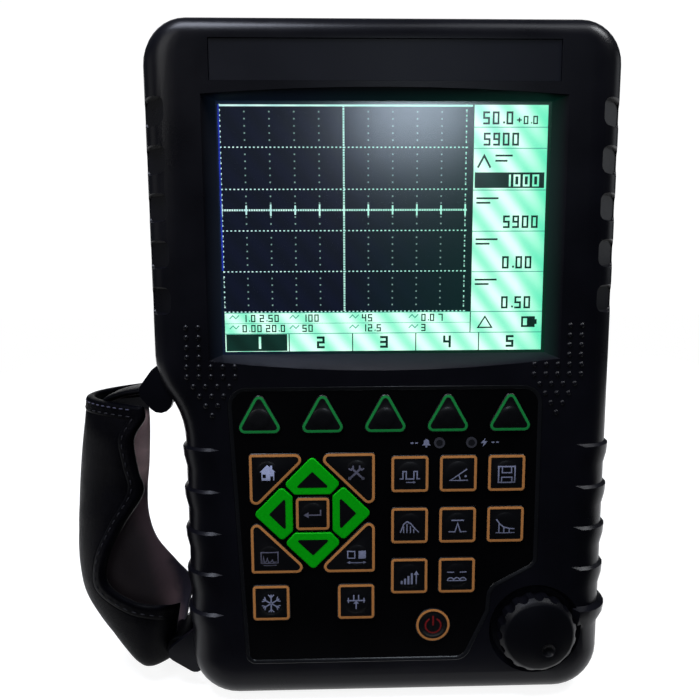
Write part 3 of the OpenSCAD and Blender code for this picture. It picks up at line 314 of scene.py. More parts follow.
# Looks of the CAD nodes
def smooth_group():
    """Merges split vertices and shades smooth below an angle."""
    g = bpy.data.node_groups.new("smooth_by_angle", "GeometryNodeTree")
    sockets = g.interface
    sockets.new_socket("Geometry", in_out="INPUT", socket_type="NodeSocketGeometry")
    angle = sockets.new_socket("Angle", in_out="INPUT", socket_type="NodeSocketFloat")
    angle.default_value = 0.6
    sockets.new_socket("Geometry", in_out="OUTPUT", socket_type="NodeSocketGeometry")
    t = Tree(g)
    mesh = t.node("NodeGroupInput")
    limit = Val(t, mesh.sock.node.outputs[1])
    mesh = t.node("GeometryNodeRemoveAttribute", {0: mesh, "Name": "custom_normal"})
    mesh = t.node("GeometryNodeMergeByDistance", {0: mesh, "Distance": 1e-6})
    mesh = t.node("GeometryNodeSetShadeSmooth", {"Geometry": mesh}, domain="FACE")
    bend = t.node("GeometryNodeInputMeshEdgeAngle")
    soft = t.node("FunctionNodeCompare", {0: bend, 1: limit}, operation="LESS_EQUAL")
    mesh = t.node("GeometryNodeSetShadeSmooth", {"Geometry": mesh, "Shade Smooth": soft},
                  domain="EDGE")
    t.node("NodeGroupOutput", {0: mesh})
    return g, angle.identifier


SMOOTH, SMOOTH_ANGLE = smooth_group()
LOOKS = ((with_painted_spill(HOUSING), "front_shell"),
         (HOUSING, "rear_shell battery_door stand upper_anchor lower_anchor"),
         (RUBBER, "shell_seal buzzer rear_feet charge_jack port_cover hand_strap"),
         (STEEL, "key_domes encoder_shaft door_screws case_screws stand_brackets"),
         (NICKEL, "probe_sockets data_port"), (CAST, "display_carrier encoder"),
         (BOARD, "keypad_board main_board"), (LCD_BLACK, "display_module display_window"),
         (INLAY, "name_inlay"), (OVERLAY, "keypad_overlay"), (KNOB, "knob"),
         (SMOKED, "status_lights"), (TIN, "pulser_module"), (WRAP, "battery_pack"))
look_of = {name: look for look, names in LOOKS for name in names.split()}
for name, obj in nodes.items():
    obj.data.materials.clear()
    obj.data.materials.append(look_of.get(name, KEY_DARK))
    mod = obj.modifiers.new("smooth", "NODES")
    mod.node_group = SMOOTH
    mod[SMOOTH_ANGLE] = math.radians(33)


# Mesh kit
def add_object(name, data):
    o = bpy.data.objects.new(name, data)
    scene.collection.objects.link(o)
    return o


def add_mesh(name, verts, faces, mats):
    me = bpy.data.meshes.new(name)
    me.from_pydata([tuple(v) for v in verts], [], faces)
    for m in mats:
        me.materials.append(m)
    return add_object(name, me)


def piece(name, verts, faces, mats, slot, mat_of=None, body="housing", shade=True, angle=40):
    o = add_mesh(name, verts, faces, mats)
    me = o.data
    if mat_of:
        me.polygons.foreach_set("material_index", mat_of)
    if shade:
        me.polygons.foreach_set("use_smooth", [True] * len(me.polygons))
        me.update()
        me.set_sharp_from_angle(angle=math.radians(angle))
    me.validate()
    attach(o, body)
    return o


def bands(rows, m, start=0, closed=False):
    """Quads between rows of m vertices; closed joins the last row to the first."""
    out = []
    for k in range(rows if closed else rows - 1):
        a, b = start + k * m, start + (k + 1) % rows * m
        out += [[a + i, a + (i + 1) % m, b + (i + 1) % m, b + i] for i in range(m)]
    return out


def circle(x, y, r, n):
    return [(x + r * math.cos(2 * math.pi * k / n), y + r * math.sin(2 * math.pi * k / n))
            for k in range(n)]


def rectangle(w, h, x=0.0, y=0.0):
    """Corners of a rectangle with that half width and half height round x, y."""
    return [(x - w, y - h), (x + w, y - h), (x + w, y + h), (x - w, y + h)]


def edge_angle(p, q):
    return math.degrees(math.atan2(p[0] - q[0], q[1] - p[1]))


def round_hull(centres, r, n=6):
    """Outline round circles of radius r on the corners of a convex polygon."""
    m, out = len(centres), []
    for i, c in enumerate(centres):
        a0 = edge_angle(centres[i - 1], c)
        turn = (edge_angle(c, centres[(i + 1) % m]) - a0 + 720) % 360
        for k in range(n + 1):
            a = math.radians(a0 + turn * k / n)
            out.append((c[0] + r * math.cos(a), c[1] + r * math.sin(a)))
    return out


def rounded(points, radii, n=6):
    """Outline with a corner arc of the given radius at each point."""
    pts, out = [Vector(p) for p in points], []
    for i, p in enumerate(pts):
        u, v = (pts[i - 1] - p).normalized(), (pts[(i + 1) % len(pts)] - p).normalized()
        half, r = math.acos(max(-1.0, min(1.0, u.dot(v)))) / 2, max(radii[i], 0.02)
        c = p + (u + v).normalized() * r / math.sin(half)
        s, e = p + u * r / math.tan(half) - c, p + v * r / math.tan(half) - c
        a0 = math.atan2(s.y, s.x)
        turn = (math.atan2(e.y, e.x) - a0 + 5 * math.pi) % (2 * math.pi) - math.pi
        angles = [a0 + turn * k / n for k in range(n + 1)]
        out += [c + r * Vector((math.cos(a), math.sin(a))) for a in angles]
    return out


def turned(pts, deg):
    c, s = math.cos(math.radians(deg)), math.sin(math.radians(deg))
    return [(x * c - y * s, x * s + y * c) for x, y in pts]


class Flat:
    """Flat figures in x and z, gathered as polygons with a material number."""

    def __init__(self):
        self.polys = []

    def poly(self, pts, mat=0):
        self.polys.append(([tuple(p) for p in pts], mat))

    def box(self, x0, y0, x1, y1, mat=0):
        self.poly([(x0, y0), (x1, y0), (x1, y1), (x0, y1)], mat)

    def disc(self, x, y, r, n=16):
        self.poly(circle(x, y, r, n))

    def line(self, pts, w, mat=0, closed=False):
        """A stroke of width w along points, mitred at its bends, with short overhangs."""
        pts = [Vector(p) for p in pts]
        m = len(pts)
        left, right = [], []
        for i in range(m):
            d0 = (pts[i] - pts[i - 1]).normalized() if i or closed else None
            d1 = (pts[(i + 1) % m] - pts[i]).normalized() if i < m - 1 or closed else None
            d0, d1 = d0 or d1, d1 or d0
            t = d0 + d1
            t = d0 if t.length < 1e-6 else t.normalized()
            nrm = Vector((-t.y, t.x))
            off = nrm * (w / 2 / max(0.45, nrm.dot(Vector((-d0.y, d0.x)))))
            ext = d0 * w * 0.3 * (0 if closed else (i == m - 1) - (i == 0))
            left.append(pts[i] + off + ext)
            right.append(pts[i] - off + ext)
        for i in range(m if closed else m - 1):
            j = (i + 1) % m
            self.poly([right[i], right[j], left[j], left[i]], mat)

    def arc(self, x, y, r, a0, a1, w, n=14):
        angles = [math.radians(a0 + (a1 - a0) * k / n) for k in range(n + 1)]
        self.line([(x + r * math.cos(a), y + r * math.sin(a)) for a in angles], w)

    def ring(self, outer, inner):
        pts = outer + inner
        for quad in bands(2, len(outer)):
            self.poly([pts[i] for i in quad])

    def shifted(self, dx, dy):
        f = Flat()
        f.polys = [([(x + dx, y + dy) for x, y in p], m) for p, m in self.polys]
        return f


def cut_up(bm):
    bmesh.ops.triangulate(bm, faces=[f for f in bm.faces if len(f.verts) > 4])


def flat_mesh(flat, depth, lift=None, cut=None):
    """Vertices, faces and material numbers of a Flat at that depth behind the face.
    lift(x, z) gives how far the surface below stands out; cut is the longest edge then."""
    bm = bmesh.new()
    layer = bm.faces.layers.int.new("m")
    for pts, mat in flat.polys:
        f = bm.faces.new([bm.verts.new((x, y, 0.0)) for x, y in pts])
        f.normal_update()
        f[layer] = mat
    if cut:
        cut_up(bm)
        for _ in range(4):
            long = [e for e in bm.edges if e.calc_length() > cut]
            if not long:
                break
            bmesh.ops.subdivide_edges(bm, edges=long, cuts=1, use_grid_fill=True)
            cut_up(bm)
    bm.normal_update()
    for f in bm.faces:
        if f.normal.z < 0:
            f.normal_flip()
    bm.verts.index_update()
    verts = [at(v.co.x, v.co.y, depth - (lift(v.co.x, v.co.y) if lift else 0.0))
             for v in bm.verts]
    faces = [[v.index for v in f.verts] for f in bm.faces]
    mats = [f[layer] for f in bm.faces]
    bm.free()
    return verts, faces, mats


def flat_piece(name, flat, depth, mats, slot="display"):
    v, f, m = flat_mesh(flat, depth)
    piece(name, v, f, mats, slot, m, shade=False)


# Keys: widths and corner radii; REACH is the arrow cross's half width
KEY_W, ENTER_W, KEY_R = 14.1, 12.8, 1.6
SOFT_W, SOFT_H, SOFT_R = 15.1, 0.927 * 15.1, 2.3
CORNER_W, CORNER_R, POWER_R = 19.4, 2.5, 6.6
REACH, ARROW_R = 20.9, 1.5
WING, FOOT, ARROW_BASE = 0.39 * REACH, 0.283 * REACH, REACH - 13.6
SOFT_AT = [(-SOFT_W / 2 + SOFT_R, -SOFT_H / 2 + SOFT_R),
           (SOFT_W / 2 - SOFT_R, -SOFT_H / 2 + SOFT_R), (0, SOFT_H / 2 - SOFT_R)]
ARROW_AT = [(-FOOT, ARROW_BASE + ARROW_R), (FOOT, ARROW_BASE + ARROW_R),
            (WING, REACH - ARROW_R - WING), (0, REACH - ARROW_R), (-WING, REACH - ARROW_R - WING)]
ARROWS = {"up": 0, "left": 90, "down": 180, "right": -90}
CORNERS = {"home": 0, "tools": -90, "wave": 90, "split": 180}
KEY_SLOTS = {"soft": "soft_key", **{kind: "arrow_key" for kind in ARROWS}}
# Snap domes under the caps: middle for each kind, height and usual radius
DOME_AT = {"soft": (0, -1.6), "home": (-2.9, 2.9), "tools": (2.9, 2.9), "wave": (-2.9, -2.9),
           "split": (2.9, -2.9)}
KEY_TOP, DOME_H, DOME_R = -0.32, 0.36, 4.7
DOME_RINGS = (1.0, 0.97, 0.92, 0.84, 0.72, 0.58, 0.42, 0.22)
DOME_SIDES = 40


def corner_key(a, grow):
    h, r = CORNER_W / 2 + grow, CORNER_R + grow
    off = r * math.sqrt(2)
    return rounded(turned([(-h, -h - off), (h + off, h), (-h, h)], a), [r, r, 1.3 + grow])


def outline_of(kind, inset):
    """Outline of a kind of key round its middle, moved inward by inset."""
    if kind == "soft":
        return round_hull(SOFT_AT, SOFT_R - inset)
    if kind in ("square", "enter"):
        half = (KEY_W if kind == "square" else ENTER_W) / 2 - KEY_R
        return round_hull(rectangle(half, half), KEY_R - inset)
    if kind in CORNERS:
        return corner_key(CORNERS[kind], -inset)
    if kind in ARROWS:
        return round_hull(turned(ARROW_AT, ARROWS[kind]), ARROW_R - inset)
    return circle(0, 0, POWER_R - inset, 45)


def key_cap(name, kind, cx, cz, ring_mat, ring, icon=None, icon_mat=ICON, dome=True,
            top_mat=KEY_DARK, r=DOME_R):
    """The printed cap of a key: rolled edge, coloured ring, dome bulge and pictogram."""
    verts, faces, mats = [], [], []
    dx, dz = DOME_AT.get(kind, (0, 0))

    def add_loop(pts, d):
        verts.extend(at(cx + x, cz + z, d) for x, z in pts)
        return list(range(len(verts) - len(pts), len(verts)))

    def add(new, mat):
        faces.extend(new)
        mats.extend([mat] * len(new))

    top = KEY_TOP - 0.02
    steps = [(0.0, 1.9), (0.0, -0.05), (0.04, -0.2), (0.14, -0.29), (0.3, KEY_TOP),
             (0.3 + ring, top)]
    for inset, d in steps:
        inner = outline_of(kind, inset)
        edge = add_loop(inner, d)
    m = len(edge)
    sides = bands(len(steps), m)
    add(sides[:-m], 0)
    add(sides[-m:], 1 if ring else 0)
    if dome:
        start = len(verts)
        circles = [circle(dx, dz, r * s, DOME_SIDES) for s in DOME_RINGS]
        loops = [add_loop(pts, top - DOME_H * (1 - s ** 4)) for pts, s in zip(circles, DOME_RINGS)]
        # the flat top round the dome
        polys = [[Vector((x, z, 0)) for x, z in inner],
                 [Vector((x, z, 0)) for x, z in reversed(circles[0])]]
        index = edge + loops[0][::-1]
        flat_pts = polys[0] + polys[1]
        for tri in tessellate_polygon(polys):
            a, b, c = (flat_pts[i] for i in tri)
            order = tri if (b - a).cross(c - a).z > 0 else (tri[0], tri[2], tri[1])
            add([[index[i] for i in order]], 0)
        add(bands(len(loops), DOME_SIDES, start), 0)
        add([loops[-1]], 0)
    else:
        add([edge], 0)

    def lift(x, z):
        rr = math.hypot(x - cx - dx, z - cz - dz) / r
        return DOME_H * (1 - rr ** 4) if dome and rr < 1 else 0.0

    if icon:
        v, f, m = flat_mesh(icon.shifted(cx, cz), KEY_TOP - 0.045, lift, 0.7)
        start = len(verts)
        verts.extend(v)
        faces.extend([[i + start for i in face] for face in f])
        mats.extend([2 + k for k in m])
    o = piece(name + "_cap", verts, faces, [top_mat, ring_mat, icon_mat, KEY_DARK],
              KEY_SLOTS.get(kind, "key"), mats, body=name, angle=28)
    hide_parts(name)


# Pictograms, each drawn on a Flat round the key's middle
def drawn(art):
    f = Flat()
    art(f)
    return f


def icon_home(f):
    f.poly([(-2.9, 0.6), (-0.2, 3.3), (0.9, 2.3), (0.9, 3.0), (1.6, 3.0), (1.6, 1.7), (2.7, 0.6)])
    f.box(-2.3, -2.6, -1.9, 0.7)
    f.box(-1.9, -0.2, 0.9, 0.7)
    f.box(-0.7, -2.6, 0.9, -0.2)
    f.box(-1.9, -2.6, -0.7, -1.6)
    f.box(0.9, -0.9, 2.3, 0.7)
    f.box(1.9, -2.6, 2.3, -0.9)


def icon_tools(f):
    for s in (-1, 1):
        f.line([(-2.4 * s, -2.2), (1.6 * s, 1.6)], 0.75)
        f.line([(1.2 * s, 2.5), (1.1 * s, 1.5), (1.9 * s, 1.0), (2.7 * s, 1.5)], 0.55)
        f.disc(-2.4 * s, -2.2, 0.62)


def icon_wave(f):
    f.line([(-3.1, -1.9), (-3.1, 2.3), (3.1, 2.3), (3.1, -1.9)], 0.4, closed=True)
    f.line([(-2.5, -1.5), (-2.2, 0.9), (-1.9, -1.5), (-1.2, -1.2), (-0.8, 0.1), (-0.4, -1.5),
            (0.6, -1.3), (1.0, -0.6), (1.4, -1.5), (2.5, -1.4)], 0.36)
    f.box(-2.3, -3.0, 2.5, -2.6)


def icon_split(f):
    f.line([(-3.3, -0.4), (-3.3, 2.2), (-0.7, 2.2), (-0.7, -0.4)], 0.42, closed=True)
    f.box(0.7, -0.6, 3.4, 2.4)
    f.line([(-2.9, -2.2), (2.9, -2.2)], 0.4)
    f.poly([(-3.6, -2.2), (-2.4, -1.6), (-2.4, -2.8)])
    f.poly([(3.6, -2.2), (2.4, -2.8), (2.4, -1.6)])


def icon_return(f):
    f.line([(2.9, 1.5), (2.9, -0.3), (-1.9, -0.3)], 0.5)
    f.poly([(-3.3, -0.3), (-1.5, 0.8), (-1.5, -1.4)])


def icon_freeze(f):
    for k in range(6):
        a = math.radians(90 + 60 * k)
        d, s = Vector((math.cos(a), math.sin(a))), Vector((-math.sin(a), math.cos(a)))
        f.line([(0, 0), tuple(d * 3.3)], 0.5)
        for sg in (-1, 1):
            f.line([tuple(d * 2.3), tuple(d * 3.3 + s * sg * 0.95)], 0.42)


def icon_gate(f):
    f.line([(-3.2, 0.6), (3.2, 0.6)], 0.5)
    for x in (-0.9, 0.9):
        f.line([(x, 0.9), (x, 2.7)], 0.45)
    f.poly([(-1.1, -0.6), (0, 0.5), (1.1, -0.6)])
    f.line([(0, -0.6), (0, -2.6)], 0.5)
    for x in (-2.9, 2.9):
        f.line([(x, -0.2), (x, 1.5)], 0.4)


def icon_delay(f):
    f.line([(-3.6, -1.2), (-2.6, -1.2), (-2.6, 1.6), (-1.4, 1.6), (-1.4, -1.2), (1.4, -1.2),
            (1.4, 1.6), (2.6, 1.6), (2.6, -1.2), (3.6, -1.2)], 0.46)
    f.line([(-1.4, -2.5), (1.4, -2.5)], 0.36)
    f.poly([(2.2, -2.5), (1.2, -2.0), (1.2, -3.0)])


def icon_angle(f):
    f.line([(3.0, 2.2), (-3.0, -2.0), (3.4, -2.0)], 0.48)
    f.arc(-3.0, -2.0, 3.6, 2, 34, 0.42)
    f.disc(2.6, -0.4, 0.42)


def icon_save(f):
    f.line(rectangle(3.0, 3.0), 0.5, closed=True)
    f.line([(-1.7, 2.8), (-1.7, 0.7), (1.7, 0.7), (1.7, 2.8)], 0.42)
    f.line([(-1.9, -2.8), (-1.9, -1.0), (1.9, -1.0), (1.9, -2.8)], 0.42)


def icon_envelope(f):
    f.line([(-3.4, -2.0), (-2.2, 1.2), (-1.0, 2.2), (0.4, 1.4), (1.8, -0.4), (3.4, -2.0)], 0.42)
    for x, h in ((-2.2, 0.2), (-1.0, 1.3), (0.3, 0.4), (1.5, -0.9)):
        f.line([(x, -2.1), (x, h)], 0.36)


def icon_peak(f):
    f.line([(-3.2, -2.0), (-1.0, -2.0), (0, 1.3), (1.0, -2.0), (3.2, -2.0)], 0.46)
    f.line([(-2.2, 2.4), (2.2, 2.4)], 0.46)


def icon_curve(f):
    f.line([(-3.3, 2.4), (-2.2, 0.8), (-0.8, -0.3), (1.0, -0.9), (3.3, -1.2)], 0.44)
    for x, h in ((-2.4, 0.6), (-0.6, -0.7), (1.4, -1.3)):
        f.line([(x, -2.5), (x, h)], 0.4)
    f.line([(-3.4, -2.7), (3.4, -2.7)], 0.36)


def icon_gain(f):
    for k, h in enumerate((-1.2, -0.3, 0.7, 1.8)):
        f.box(-3.2 + 1.25 * k, -2.6, -2.45 + 1.25 * k, h)
    f.line([(2.6, -2.5), (2.6, 1.4)], 0.46)
    f.poly([(2.6, 2.7), (1.6, 1.1), (3.6, 1.1)])


def icon_rectify(f):
    f.line([(-3.5, -1.4), (3.5, -1.4)], 0.4)
    for x in (-2.3, 0.0, 2.3):
        f.arc(x, -1.4, 1.15, 180, 0, 0.44, n=10)
    f.line([(-3.5, 1.9), (-1.2, 1.9)], 0.36)
    f.line([(1.2, 1.9), (3.5, 1.9)], 0.36)


def icon_power(f):
    f.arc(0, 0, 2.9, 120, 420, 0.62, n=26)
    f.line([(0, 0.2), (0, 3.6)], 0.62)


# Where the keys stand: the row of soft keys, the cross with its corners, two keys below it,
# the block of squares and the power key. RING is the usual width of the printed ring.
CX, CZ = -26.6, PAD_TOP - 47.2
SOFT_PITCH, SOFT_Z = 22.66, PAD_TOP - 10
LOW_OFF, LOW_Z = 15.8, PAD_TOP - 81.5
BLOCK_X, BLOCK_Z, PITCH_X, PITCH_Z = 9, PAD_TOP - 32.6, 17.75, 19.6
RING = 0.95
AT_CORNERS = (("home", -1, 1, icon_home, ICON_PALE), ("tools", 1, 1, icon_tools, ICON_DIM),
              ("wave", -1, -1, icon_wave, ICON_DIM), ("split", 1, -1, icon_split, ICON))
IN_BLOCK = (("delay", icon_delay), ("angle", icon_angle), ("save", icon_save),
            ("envelope", icon_envelope), ("peak", icon_peak), ("curve", icon_curve),
            ("gain", icon_gain), ("rectify", icon_rectify))
for i in range(5):
    key_cap(f"key_soft_{i + 1}", "soft", (i - 2) * SOFT_PITCH, SOFT_Z, GREEN, RING, r=3.9)
for kind, sx, sz, art, mat in AT_CORNERS:
    off = DOME_AT[kind]
    key_cap("key_" + kind, kind, CX + 13.35 * sx, CZ + 13.2 * sz, ORANGE, RING,
            drawn(art).shifted(off[0] - 0.2 * sx, off[1] - 0.6), mat, r=4.0)
for kind, turn in ARROWS.items():
    tri = Flat()
    tri.poly(turned(round_hull([(-5.0, 10.4), (5.0, 10.4), (0, 15.3)], 0.5, 4), turn))
    key_cap("key_" + kind, kind, CX, CZ, BRIGHT, 0.0, tri, KEY_DARK, dome=False, top_mat=BRIGHT)
key_cap("key_enter", "enter", CX, CZ, ORANGE, RING, drawn(icon_return), ICON_DIM, r=4.3)
key_cap("key_freeze", "square", CX - LOW_OFF, LOW_Z, ORANGE, RING, drawn(icon_freeze))
key_cap("key_gate", "square", CX + LOW_OFF, LOW_Z, ORANGE, RING, drawn(icon_gate))
for i, (name, art) in enumerate(IN_BLOCK):
    key_cap("key_" + name, "square", BLOCK_X + (i % 3) * PITCH_X, BLOCK_Z - (i // 3) * PITCH_Z,
            ORANGE, RING, drawn(art).shifted(0, -0.5))
key_cap("key_power", "power", 18.1, PAD_TOP - 91.4, ORANGE, 0.85, drawn(icon_power), ICON_RED,
        r=4.6)

# Beside the two lamps a bell for the alarm and a bolt for the supply, and the lamps' cores
marks, cores = Flat(), Flat()
lz = PAD_TOP - 21.2
marks.poly([(13.4, lz - 0.9), (16.6, lz - 0.9), (16.0, lz - 0.2), (15.9, lz + 0.9),
            (15.0, lz + 1.5), (14.1, lz + 0.9), (14.0, lz - 0.2)])
marks.disc(15.0, lz - 1.3, 0.36)
marks.poly([(36.6, lz + 1.6), (34.9, lz - 0.3), (36.0, lz - 0.3), (35.6, lz - 1.7),
            (37.4, lz + 0.4), (36.3, lz + 0.4)])
for x in (11.4, 9.8, 39.4, 41.0):
    marks.box(x - 0.5, lz - 0.25, x + 0.5, lz + 0.25)
flat_piece("overlay_marks", marks, 0.38, [ICON], "overlay")
for x in (19.8, 31.5):
    cores.disc(x, lz, 1.2, 24)
flat_piece("lamp_cores", cores, 0.17, [LAMP_CORE], "light")

# Bevelled rim that frames the overlay, from the front face down to the sheet, cut in
# round the knob
KNOB_X, KNOB_Z, LIP_R, PAD_LOW = 57.0, 28.2, 17.6, 16.2


def by_knob(a, b):
    return (KNOB_X + LIP_R * a, KNOB_Z + LIP_R * b)


def inward(pts, d):
    """The outline moved inward by d, along the normal at each of its points."""
    out, m = [], len(pts)
    for i in range(m):
        t = Vector(pts[(i + 1) % m]) - Vector(pts[i - 1])
        t.normalize()
        out.append((pts[i][0] - t.y * d, pts[i][1] + t.x * d))
    return out


pad = [(-57.0, PAD_TOP), (-52.2, PAD_LOW), (by_knob(-1.5, 0)[0], PAD_LOW), by_knob(-1, 0.42),
       by_knob(-0.97, 0.92), (57.0, by_knob(0, 1.45)[1]), (57.0, PAD_TOP)]
pad_edge = rounded(pad, [7.0, 3.99, 6.02, 3.99, 4.97, 4.97, 7.0], 10)
verts = []
steps = ((0.12, 0.02), (0.3, -0.03), (0.55, 0.02), (1.0, 0.2), (1.45, 0.36), (1.6, 0.5))
for d, depth in steps:
    verts += [at(x, z, depth) for x, z in inward(pad_edge, d)]
piece("overlay_rim", verts, bands(len(steps), len(pad_edge)), [RIM], "overlay", angle=60)

# Display: sizes in pixels of PX millimetres, 320 by 240, y down
PX, COLS, ROWS = 0.36, 320, 240
PLOT_W, PLOT_H, FOOT_Y = 247, 201, 222
RULE, FIGURE = 0, 1
SEGMENTS = {"0": "abcdef", "1": "bc", "2": "abged", "3": "abgcd", "4": "fgbc", "5": "afgcd",
            "7": "abc", "9": "abcfgd", "+": "gm"}
STROKES = {"a": ((0, 1), (1, 1)), "b": ((1, 1), (1, .5)), "c": ((1, .5), (1, 0)),
           "d": ((0, 0), (1, 0)), "e": ((0, .5), (0, 0)), "f": ((0, 1), (0, .5)),
           "g": ((0, .5), (1, .5)), "m": ((.5, .74), (.5, .26))}


class Screen(Flat):
    """Figures in display pixels."""

    def digits(self, text, x, y, w, h, pen, mat=0):
        """Plain numbers from straight strokes; x, y is the lower left corner of the first."""
        for ch in text:
            if ch == ".":
                self.box(x, y - pen, x + pen, y, mat)
                x += 2.2 * pen
                continue
            for s in SEGMENTS.get(ch, ""):
                (ax, ay), (bx, by) = STROKES[s]
                x0, x1 = sorted((x + ax * w, x + bx * w))
                y0, y1 = sorted((y - ay * h, y - by * h))
                self.box(x0 - pen / 2, y0 - pen / 2, x1 + pen / 2, y1 + pen / 2, mat)
            x += w + 2.4 * pen if ch != " " else 0.8 * w

    def placed(self):
        f = Flat()
        f.polys = [([((x - COLS / 2) * PX, SCREEN_Z - (y - ROWS / 2) * PX) for x, y in p], m)
                   for p, m in self.polys]
        return f


back, pale, ink, bright, grid, dots = (Screen() for _ in range(6))
back.box(0, 0, COLS, ROWS)
# Pale fields: the column on the right, the line of readings and the foot
pale.box(PLOT_W, 0, COLS, FOOT_Y)
pale.box(0, PLOT_H, PLOT_W, FOOT_Y)
pale.box(0, FOOT_Y, COLS, ROWS)
for y in (21, 41, 81, 121, 161):
    ink.box(PLOT_W, y - 0.4, COLS, y + 0.4, RULE)
ink.box(246.6, 0, 247.6, FOOT_Y, FIGURE)
ink.box(0, 200.6, COLS, 201.4, RULE)
ink.box(0, 221.6, COLS, 222.4, RULE)
ink.box(0, 211.4, PLOT_W, 211.9, RULE)
ink.box(249, 64, 318, 79, FIGURE)
ink.box(1, 222.5, 62, 239.5, FIGURE)
for k in range(1, 5):
    ink.box(64 * k - 0.5, FOOT_Y, 64 * k + 0.5, ROWS, FIGURE)
    ink.digits(str(k + 1), 64 * k + 29, 236.0, 5.6, 9.8, 2.3, FIGURE)
ink.digits("50.0", 257, 17.5, 4.8, 10.4, 1.9, FIGURE)
ink.digits("+0.0", 290, 17.5, 3.4, 6.6, 1.3, FIGURE)
for y, text, x in ((37.5, "5900", 258), (117, "5900", 279), (157, "0.00", 279),
                   (197, "0.50", 279)):
    ink.digits(text, x, y, 4.8, 10.4, 1.9, FIGURE)
for y in (117, 157, 197):
    ink.box(251, y - 29, 273, y - 27.2, FIGURE)
    ink.box(251, y - 24.6, 265, y - 22.8, FIGURE)
ink.line([(252, 59), (258, 48), (264, 59)], 1.9, FIGURE)
ink.box(269, 47, 286, 48.8, FIGURE)
ink.box(269, 52, 281, 53.8, FIGURE)
bright.digits("1000", 279, 76.6, 4.8, 9.6, 1.9)
bright.digits("1", 29, 236.0, 5.6, 9.8, 2.3)
for row, texts in ((209.6, ("1.0 2.50", "100", "45", "0.0 7")),
                   (219.8, ("0.00 20.0", "50", "12.5", "3"))):
    for k, text in enumerate(texts):
        x = 5 + k * 60
        ink.line([(x, row - 3), (x + 3, row - 6), (x + 6, row - 3), (x + 9, row - 6)], 1.0, RULE)
        ink.digits(text, x + 13, row, 3.2, 6.2, 1.2, FIGURE)
# A battery and a triangle in the last field
ink.box(299, 206, 313, 217, FIGURE)
ink.box(313, 209, 315, 214, FIGURE)
bright.box(301, 208, 305, 215)
ink.line([(255, 217), (262, 206), (269, 217)], 1.4, FIGURE, closed=True)
# The plot: top line, five rows of dots, both axes, the tick marks and the side dots
grid.box(0, 0, 246, 1.8)
for y in (40, 80, 120, 160, 200):
    for k in range(61):
        grid.box(4.0 * k, y - 0.55, 4.0 * k + 1.7, y + 0.55)
for k in range(101):
    grid.box(2.4 * k, 99.1, 2.4 * k + 1.7, 100.9)
for k in range(83):
    grid.box(119.1, 2.4 * k + 1, 120.9, 2.4 * k + 2.7)
for k in range(11):
    tick = 5.5 if k % 2 == 0 else 4.5
    grid.box(24 * k - 0.8, 100 - tick, 24 * k + 0.8, 100 + tick)
    for b in range(5):
        for t in (6.7, 13.3, 20.0, 26.7, 33.3):
            dots.box(24 * k - 0.7, 40 * b + t - 0.7, 24 * k + 0.7, 40 * b + t + 0.7)
for k in range(41):
    y = 5.0 * k
    for x in (0.5, 240):
        grid.box(x - 0.6, y - 0.6, x + 0.6, y + 0.9)

flat_piece("display_back", back.placed(), 5.90, [LCD_DARK])
flat_piece("display_bands", pale.placed(), 5.87, [LCD_PALE])
flat_piece("display_dots", dots.placed(), 5.88, [LCD_DIM])
flat_piece("display_grid", grid.placed(), 5.86, [LCD_LINE])
flat_piece("display_figures", ink.placed(), 5.84, [LCD_RULE, LCD_INK])
flat_piece("display_light_figures", bright.placed(), 5.81, [LCD_PALE])
# Dark border with the blue light at its left edge, and the clear pane
PANE_W, PANE_H, HOLE_W, HOLE_H = 119.1 / 2, 90.3 / 2, 57.7, 43.3
mask = Flat()
mask.ring(rectangle(PANE_W, PANE_H, 0, SCREEN_Z), rectangle(HOLE_W, HOLE_H, 0, SCREEN_Z))
mask.box(-58.1, SCREEN_Z - 14, -57.5, SCREEN_Z + 43.2, 1)
flat_piece("window_mask", mask, 5.78, [MASK, LCD_BLUE])
verts = [at(x, z, depth) for inset, depth in ((0.0, 5.76), (0.0, 4.95), (0.35, 4.8))
         for x, z in rectangle(PANE_W - inset, PANE_H - inset, 0, SCREEN_Z)]
window = piece("window_pane", verts, bands(3, 4) + [[3, 2, 1, 0], [8, 9, 10, 11]], [PANE],
               "window", shade=False)
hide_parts("display_window")

# Hand strap: an open-mouthed cup of lined leather with a belt and two sleeves.
# Points of its lines are shares of REACH_MM to the left, DROP down and DEEP back.
WAIST_X, STRAP_Z, REACH_MM, DROP, DEEP, THICK = -74.0, 127.5, 50.0, 125.0, 60.0, 3.2
FRONT_EDGE = ((.32, .112, .14), (.31, .148, .13), (.395, .21, .12), (.37, .3, .12),
              (.34, .37, .12), (.5, .47, .12), (.63, .57, .12), (.65, .66, .12),
              (.44, .72, .12), (.22, .735, .13), (.13, .76, .25))
BELLY = ((.845, .1, .44), (.857, .14, .44), (.875, .2, .44), (.91, .28, .45), (.945, .4, .45),
         (.96, .52, .45), (.94, .64, .44), (.85, .755, .42), (.66, .865, .34),
         (.42, .965, .25), (.2, .945, .29))
REAR_EDGE = ((.5, .088, .78), (.5, .15, .8), (.5, .23, .82), (.53, .37, .85), (.56, .47, .86),
             (.56, .57, .86), (.49, .66, .85), (.31, .735, .8), (.14, .79, .71),
             (.13, .845, .56), (.14, .88, .47))
# The belt's middle line, and its half width as a share of the bar
BELT = ((.25, .07, .368, .46), (.5, .085, .375, .38), (.68, .12, .4, .28), (.79, .2, .44, .18))
BAR_LEN, BELT_ROWS, BELT_SIDES, BELT_HALF = 18.0, 30, 16, 1.45
# Distances from a side edge, in millimetres, at which the turned edge has its points
EDGE_AT = (1.6, 2.6, 3.8, 5.0, 5.7, 6.1, 6.4, 6.7, 7.2)
MIDDLE, EDGE_R, EDGE_STEPS = 16, 1.6, 6
STRAP_END = len(BELLY) - 1
STITCH_SIDES = 6
# The seam's distance from an edge, and how deep its thread lies
SEAM_AT, SEAM_DEEP = 4.3, -0.2


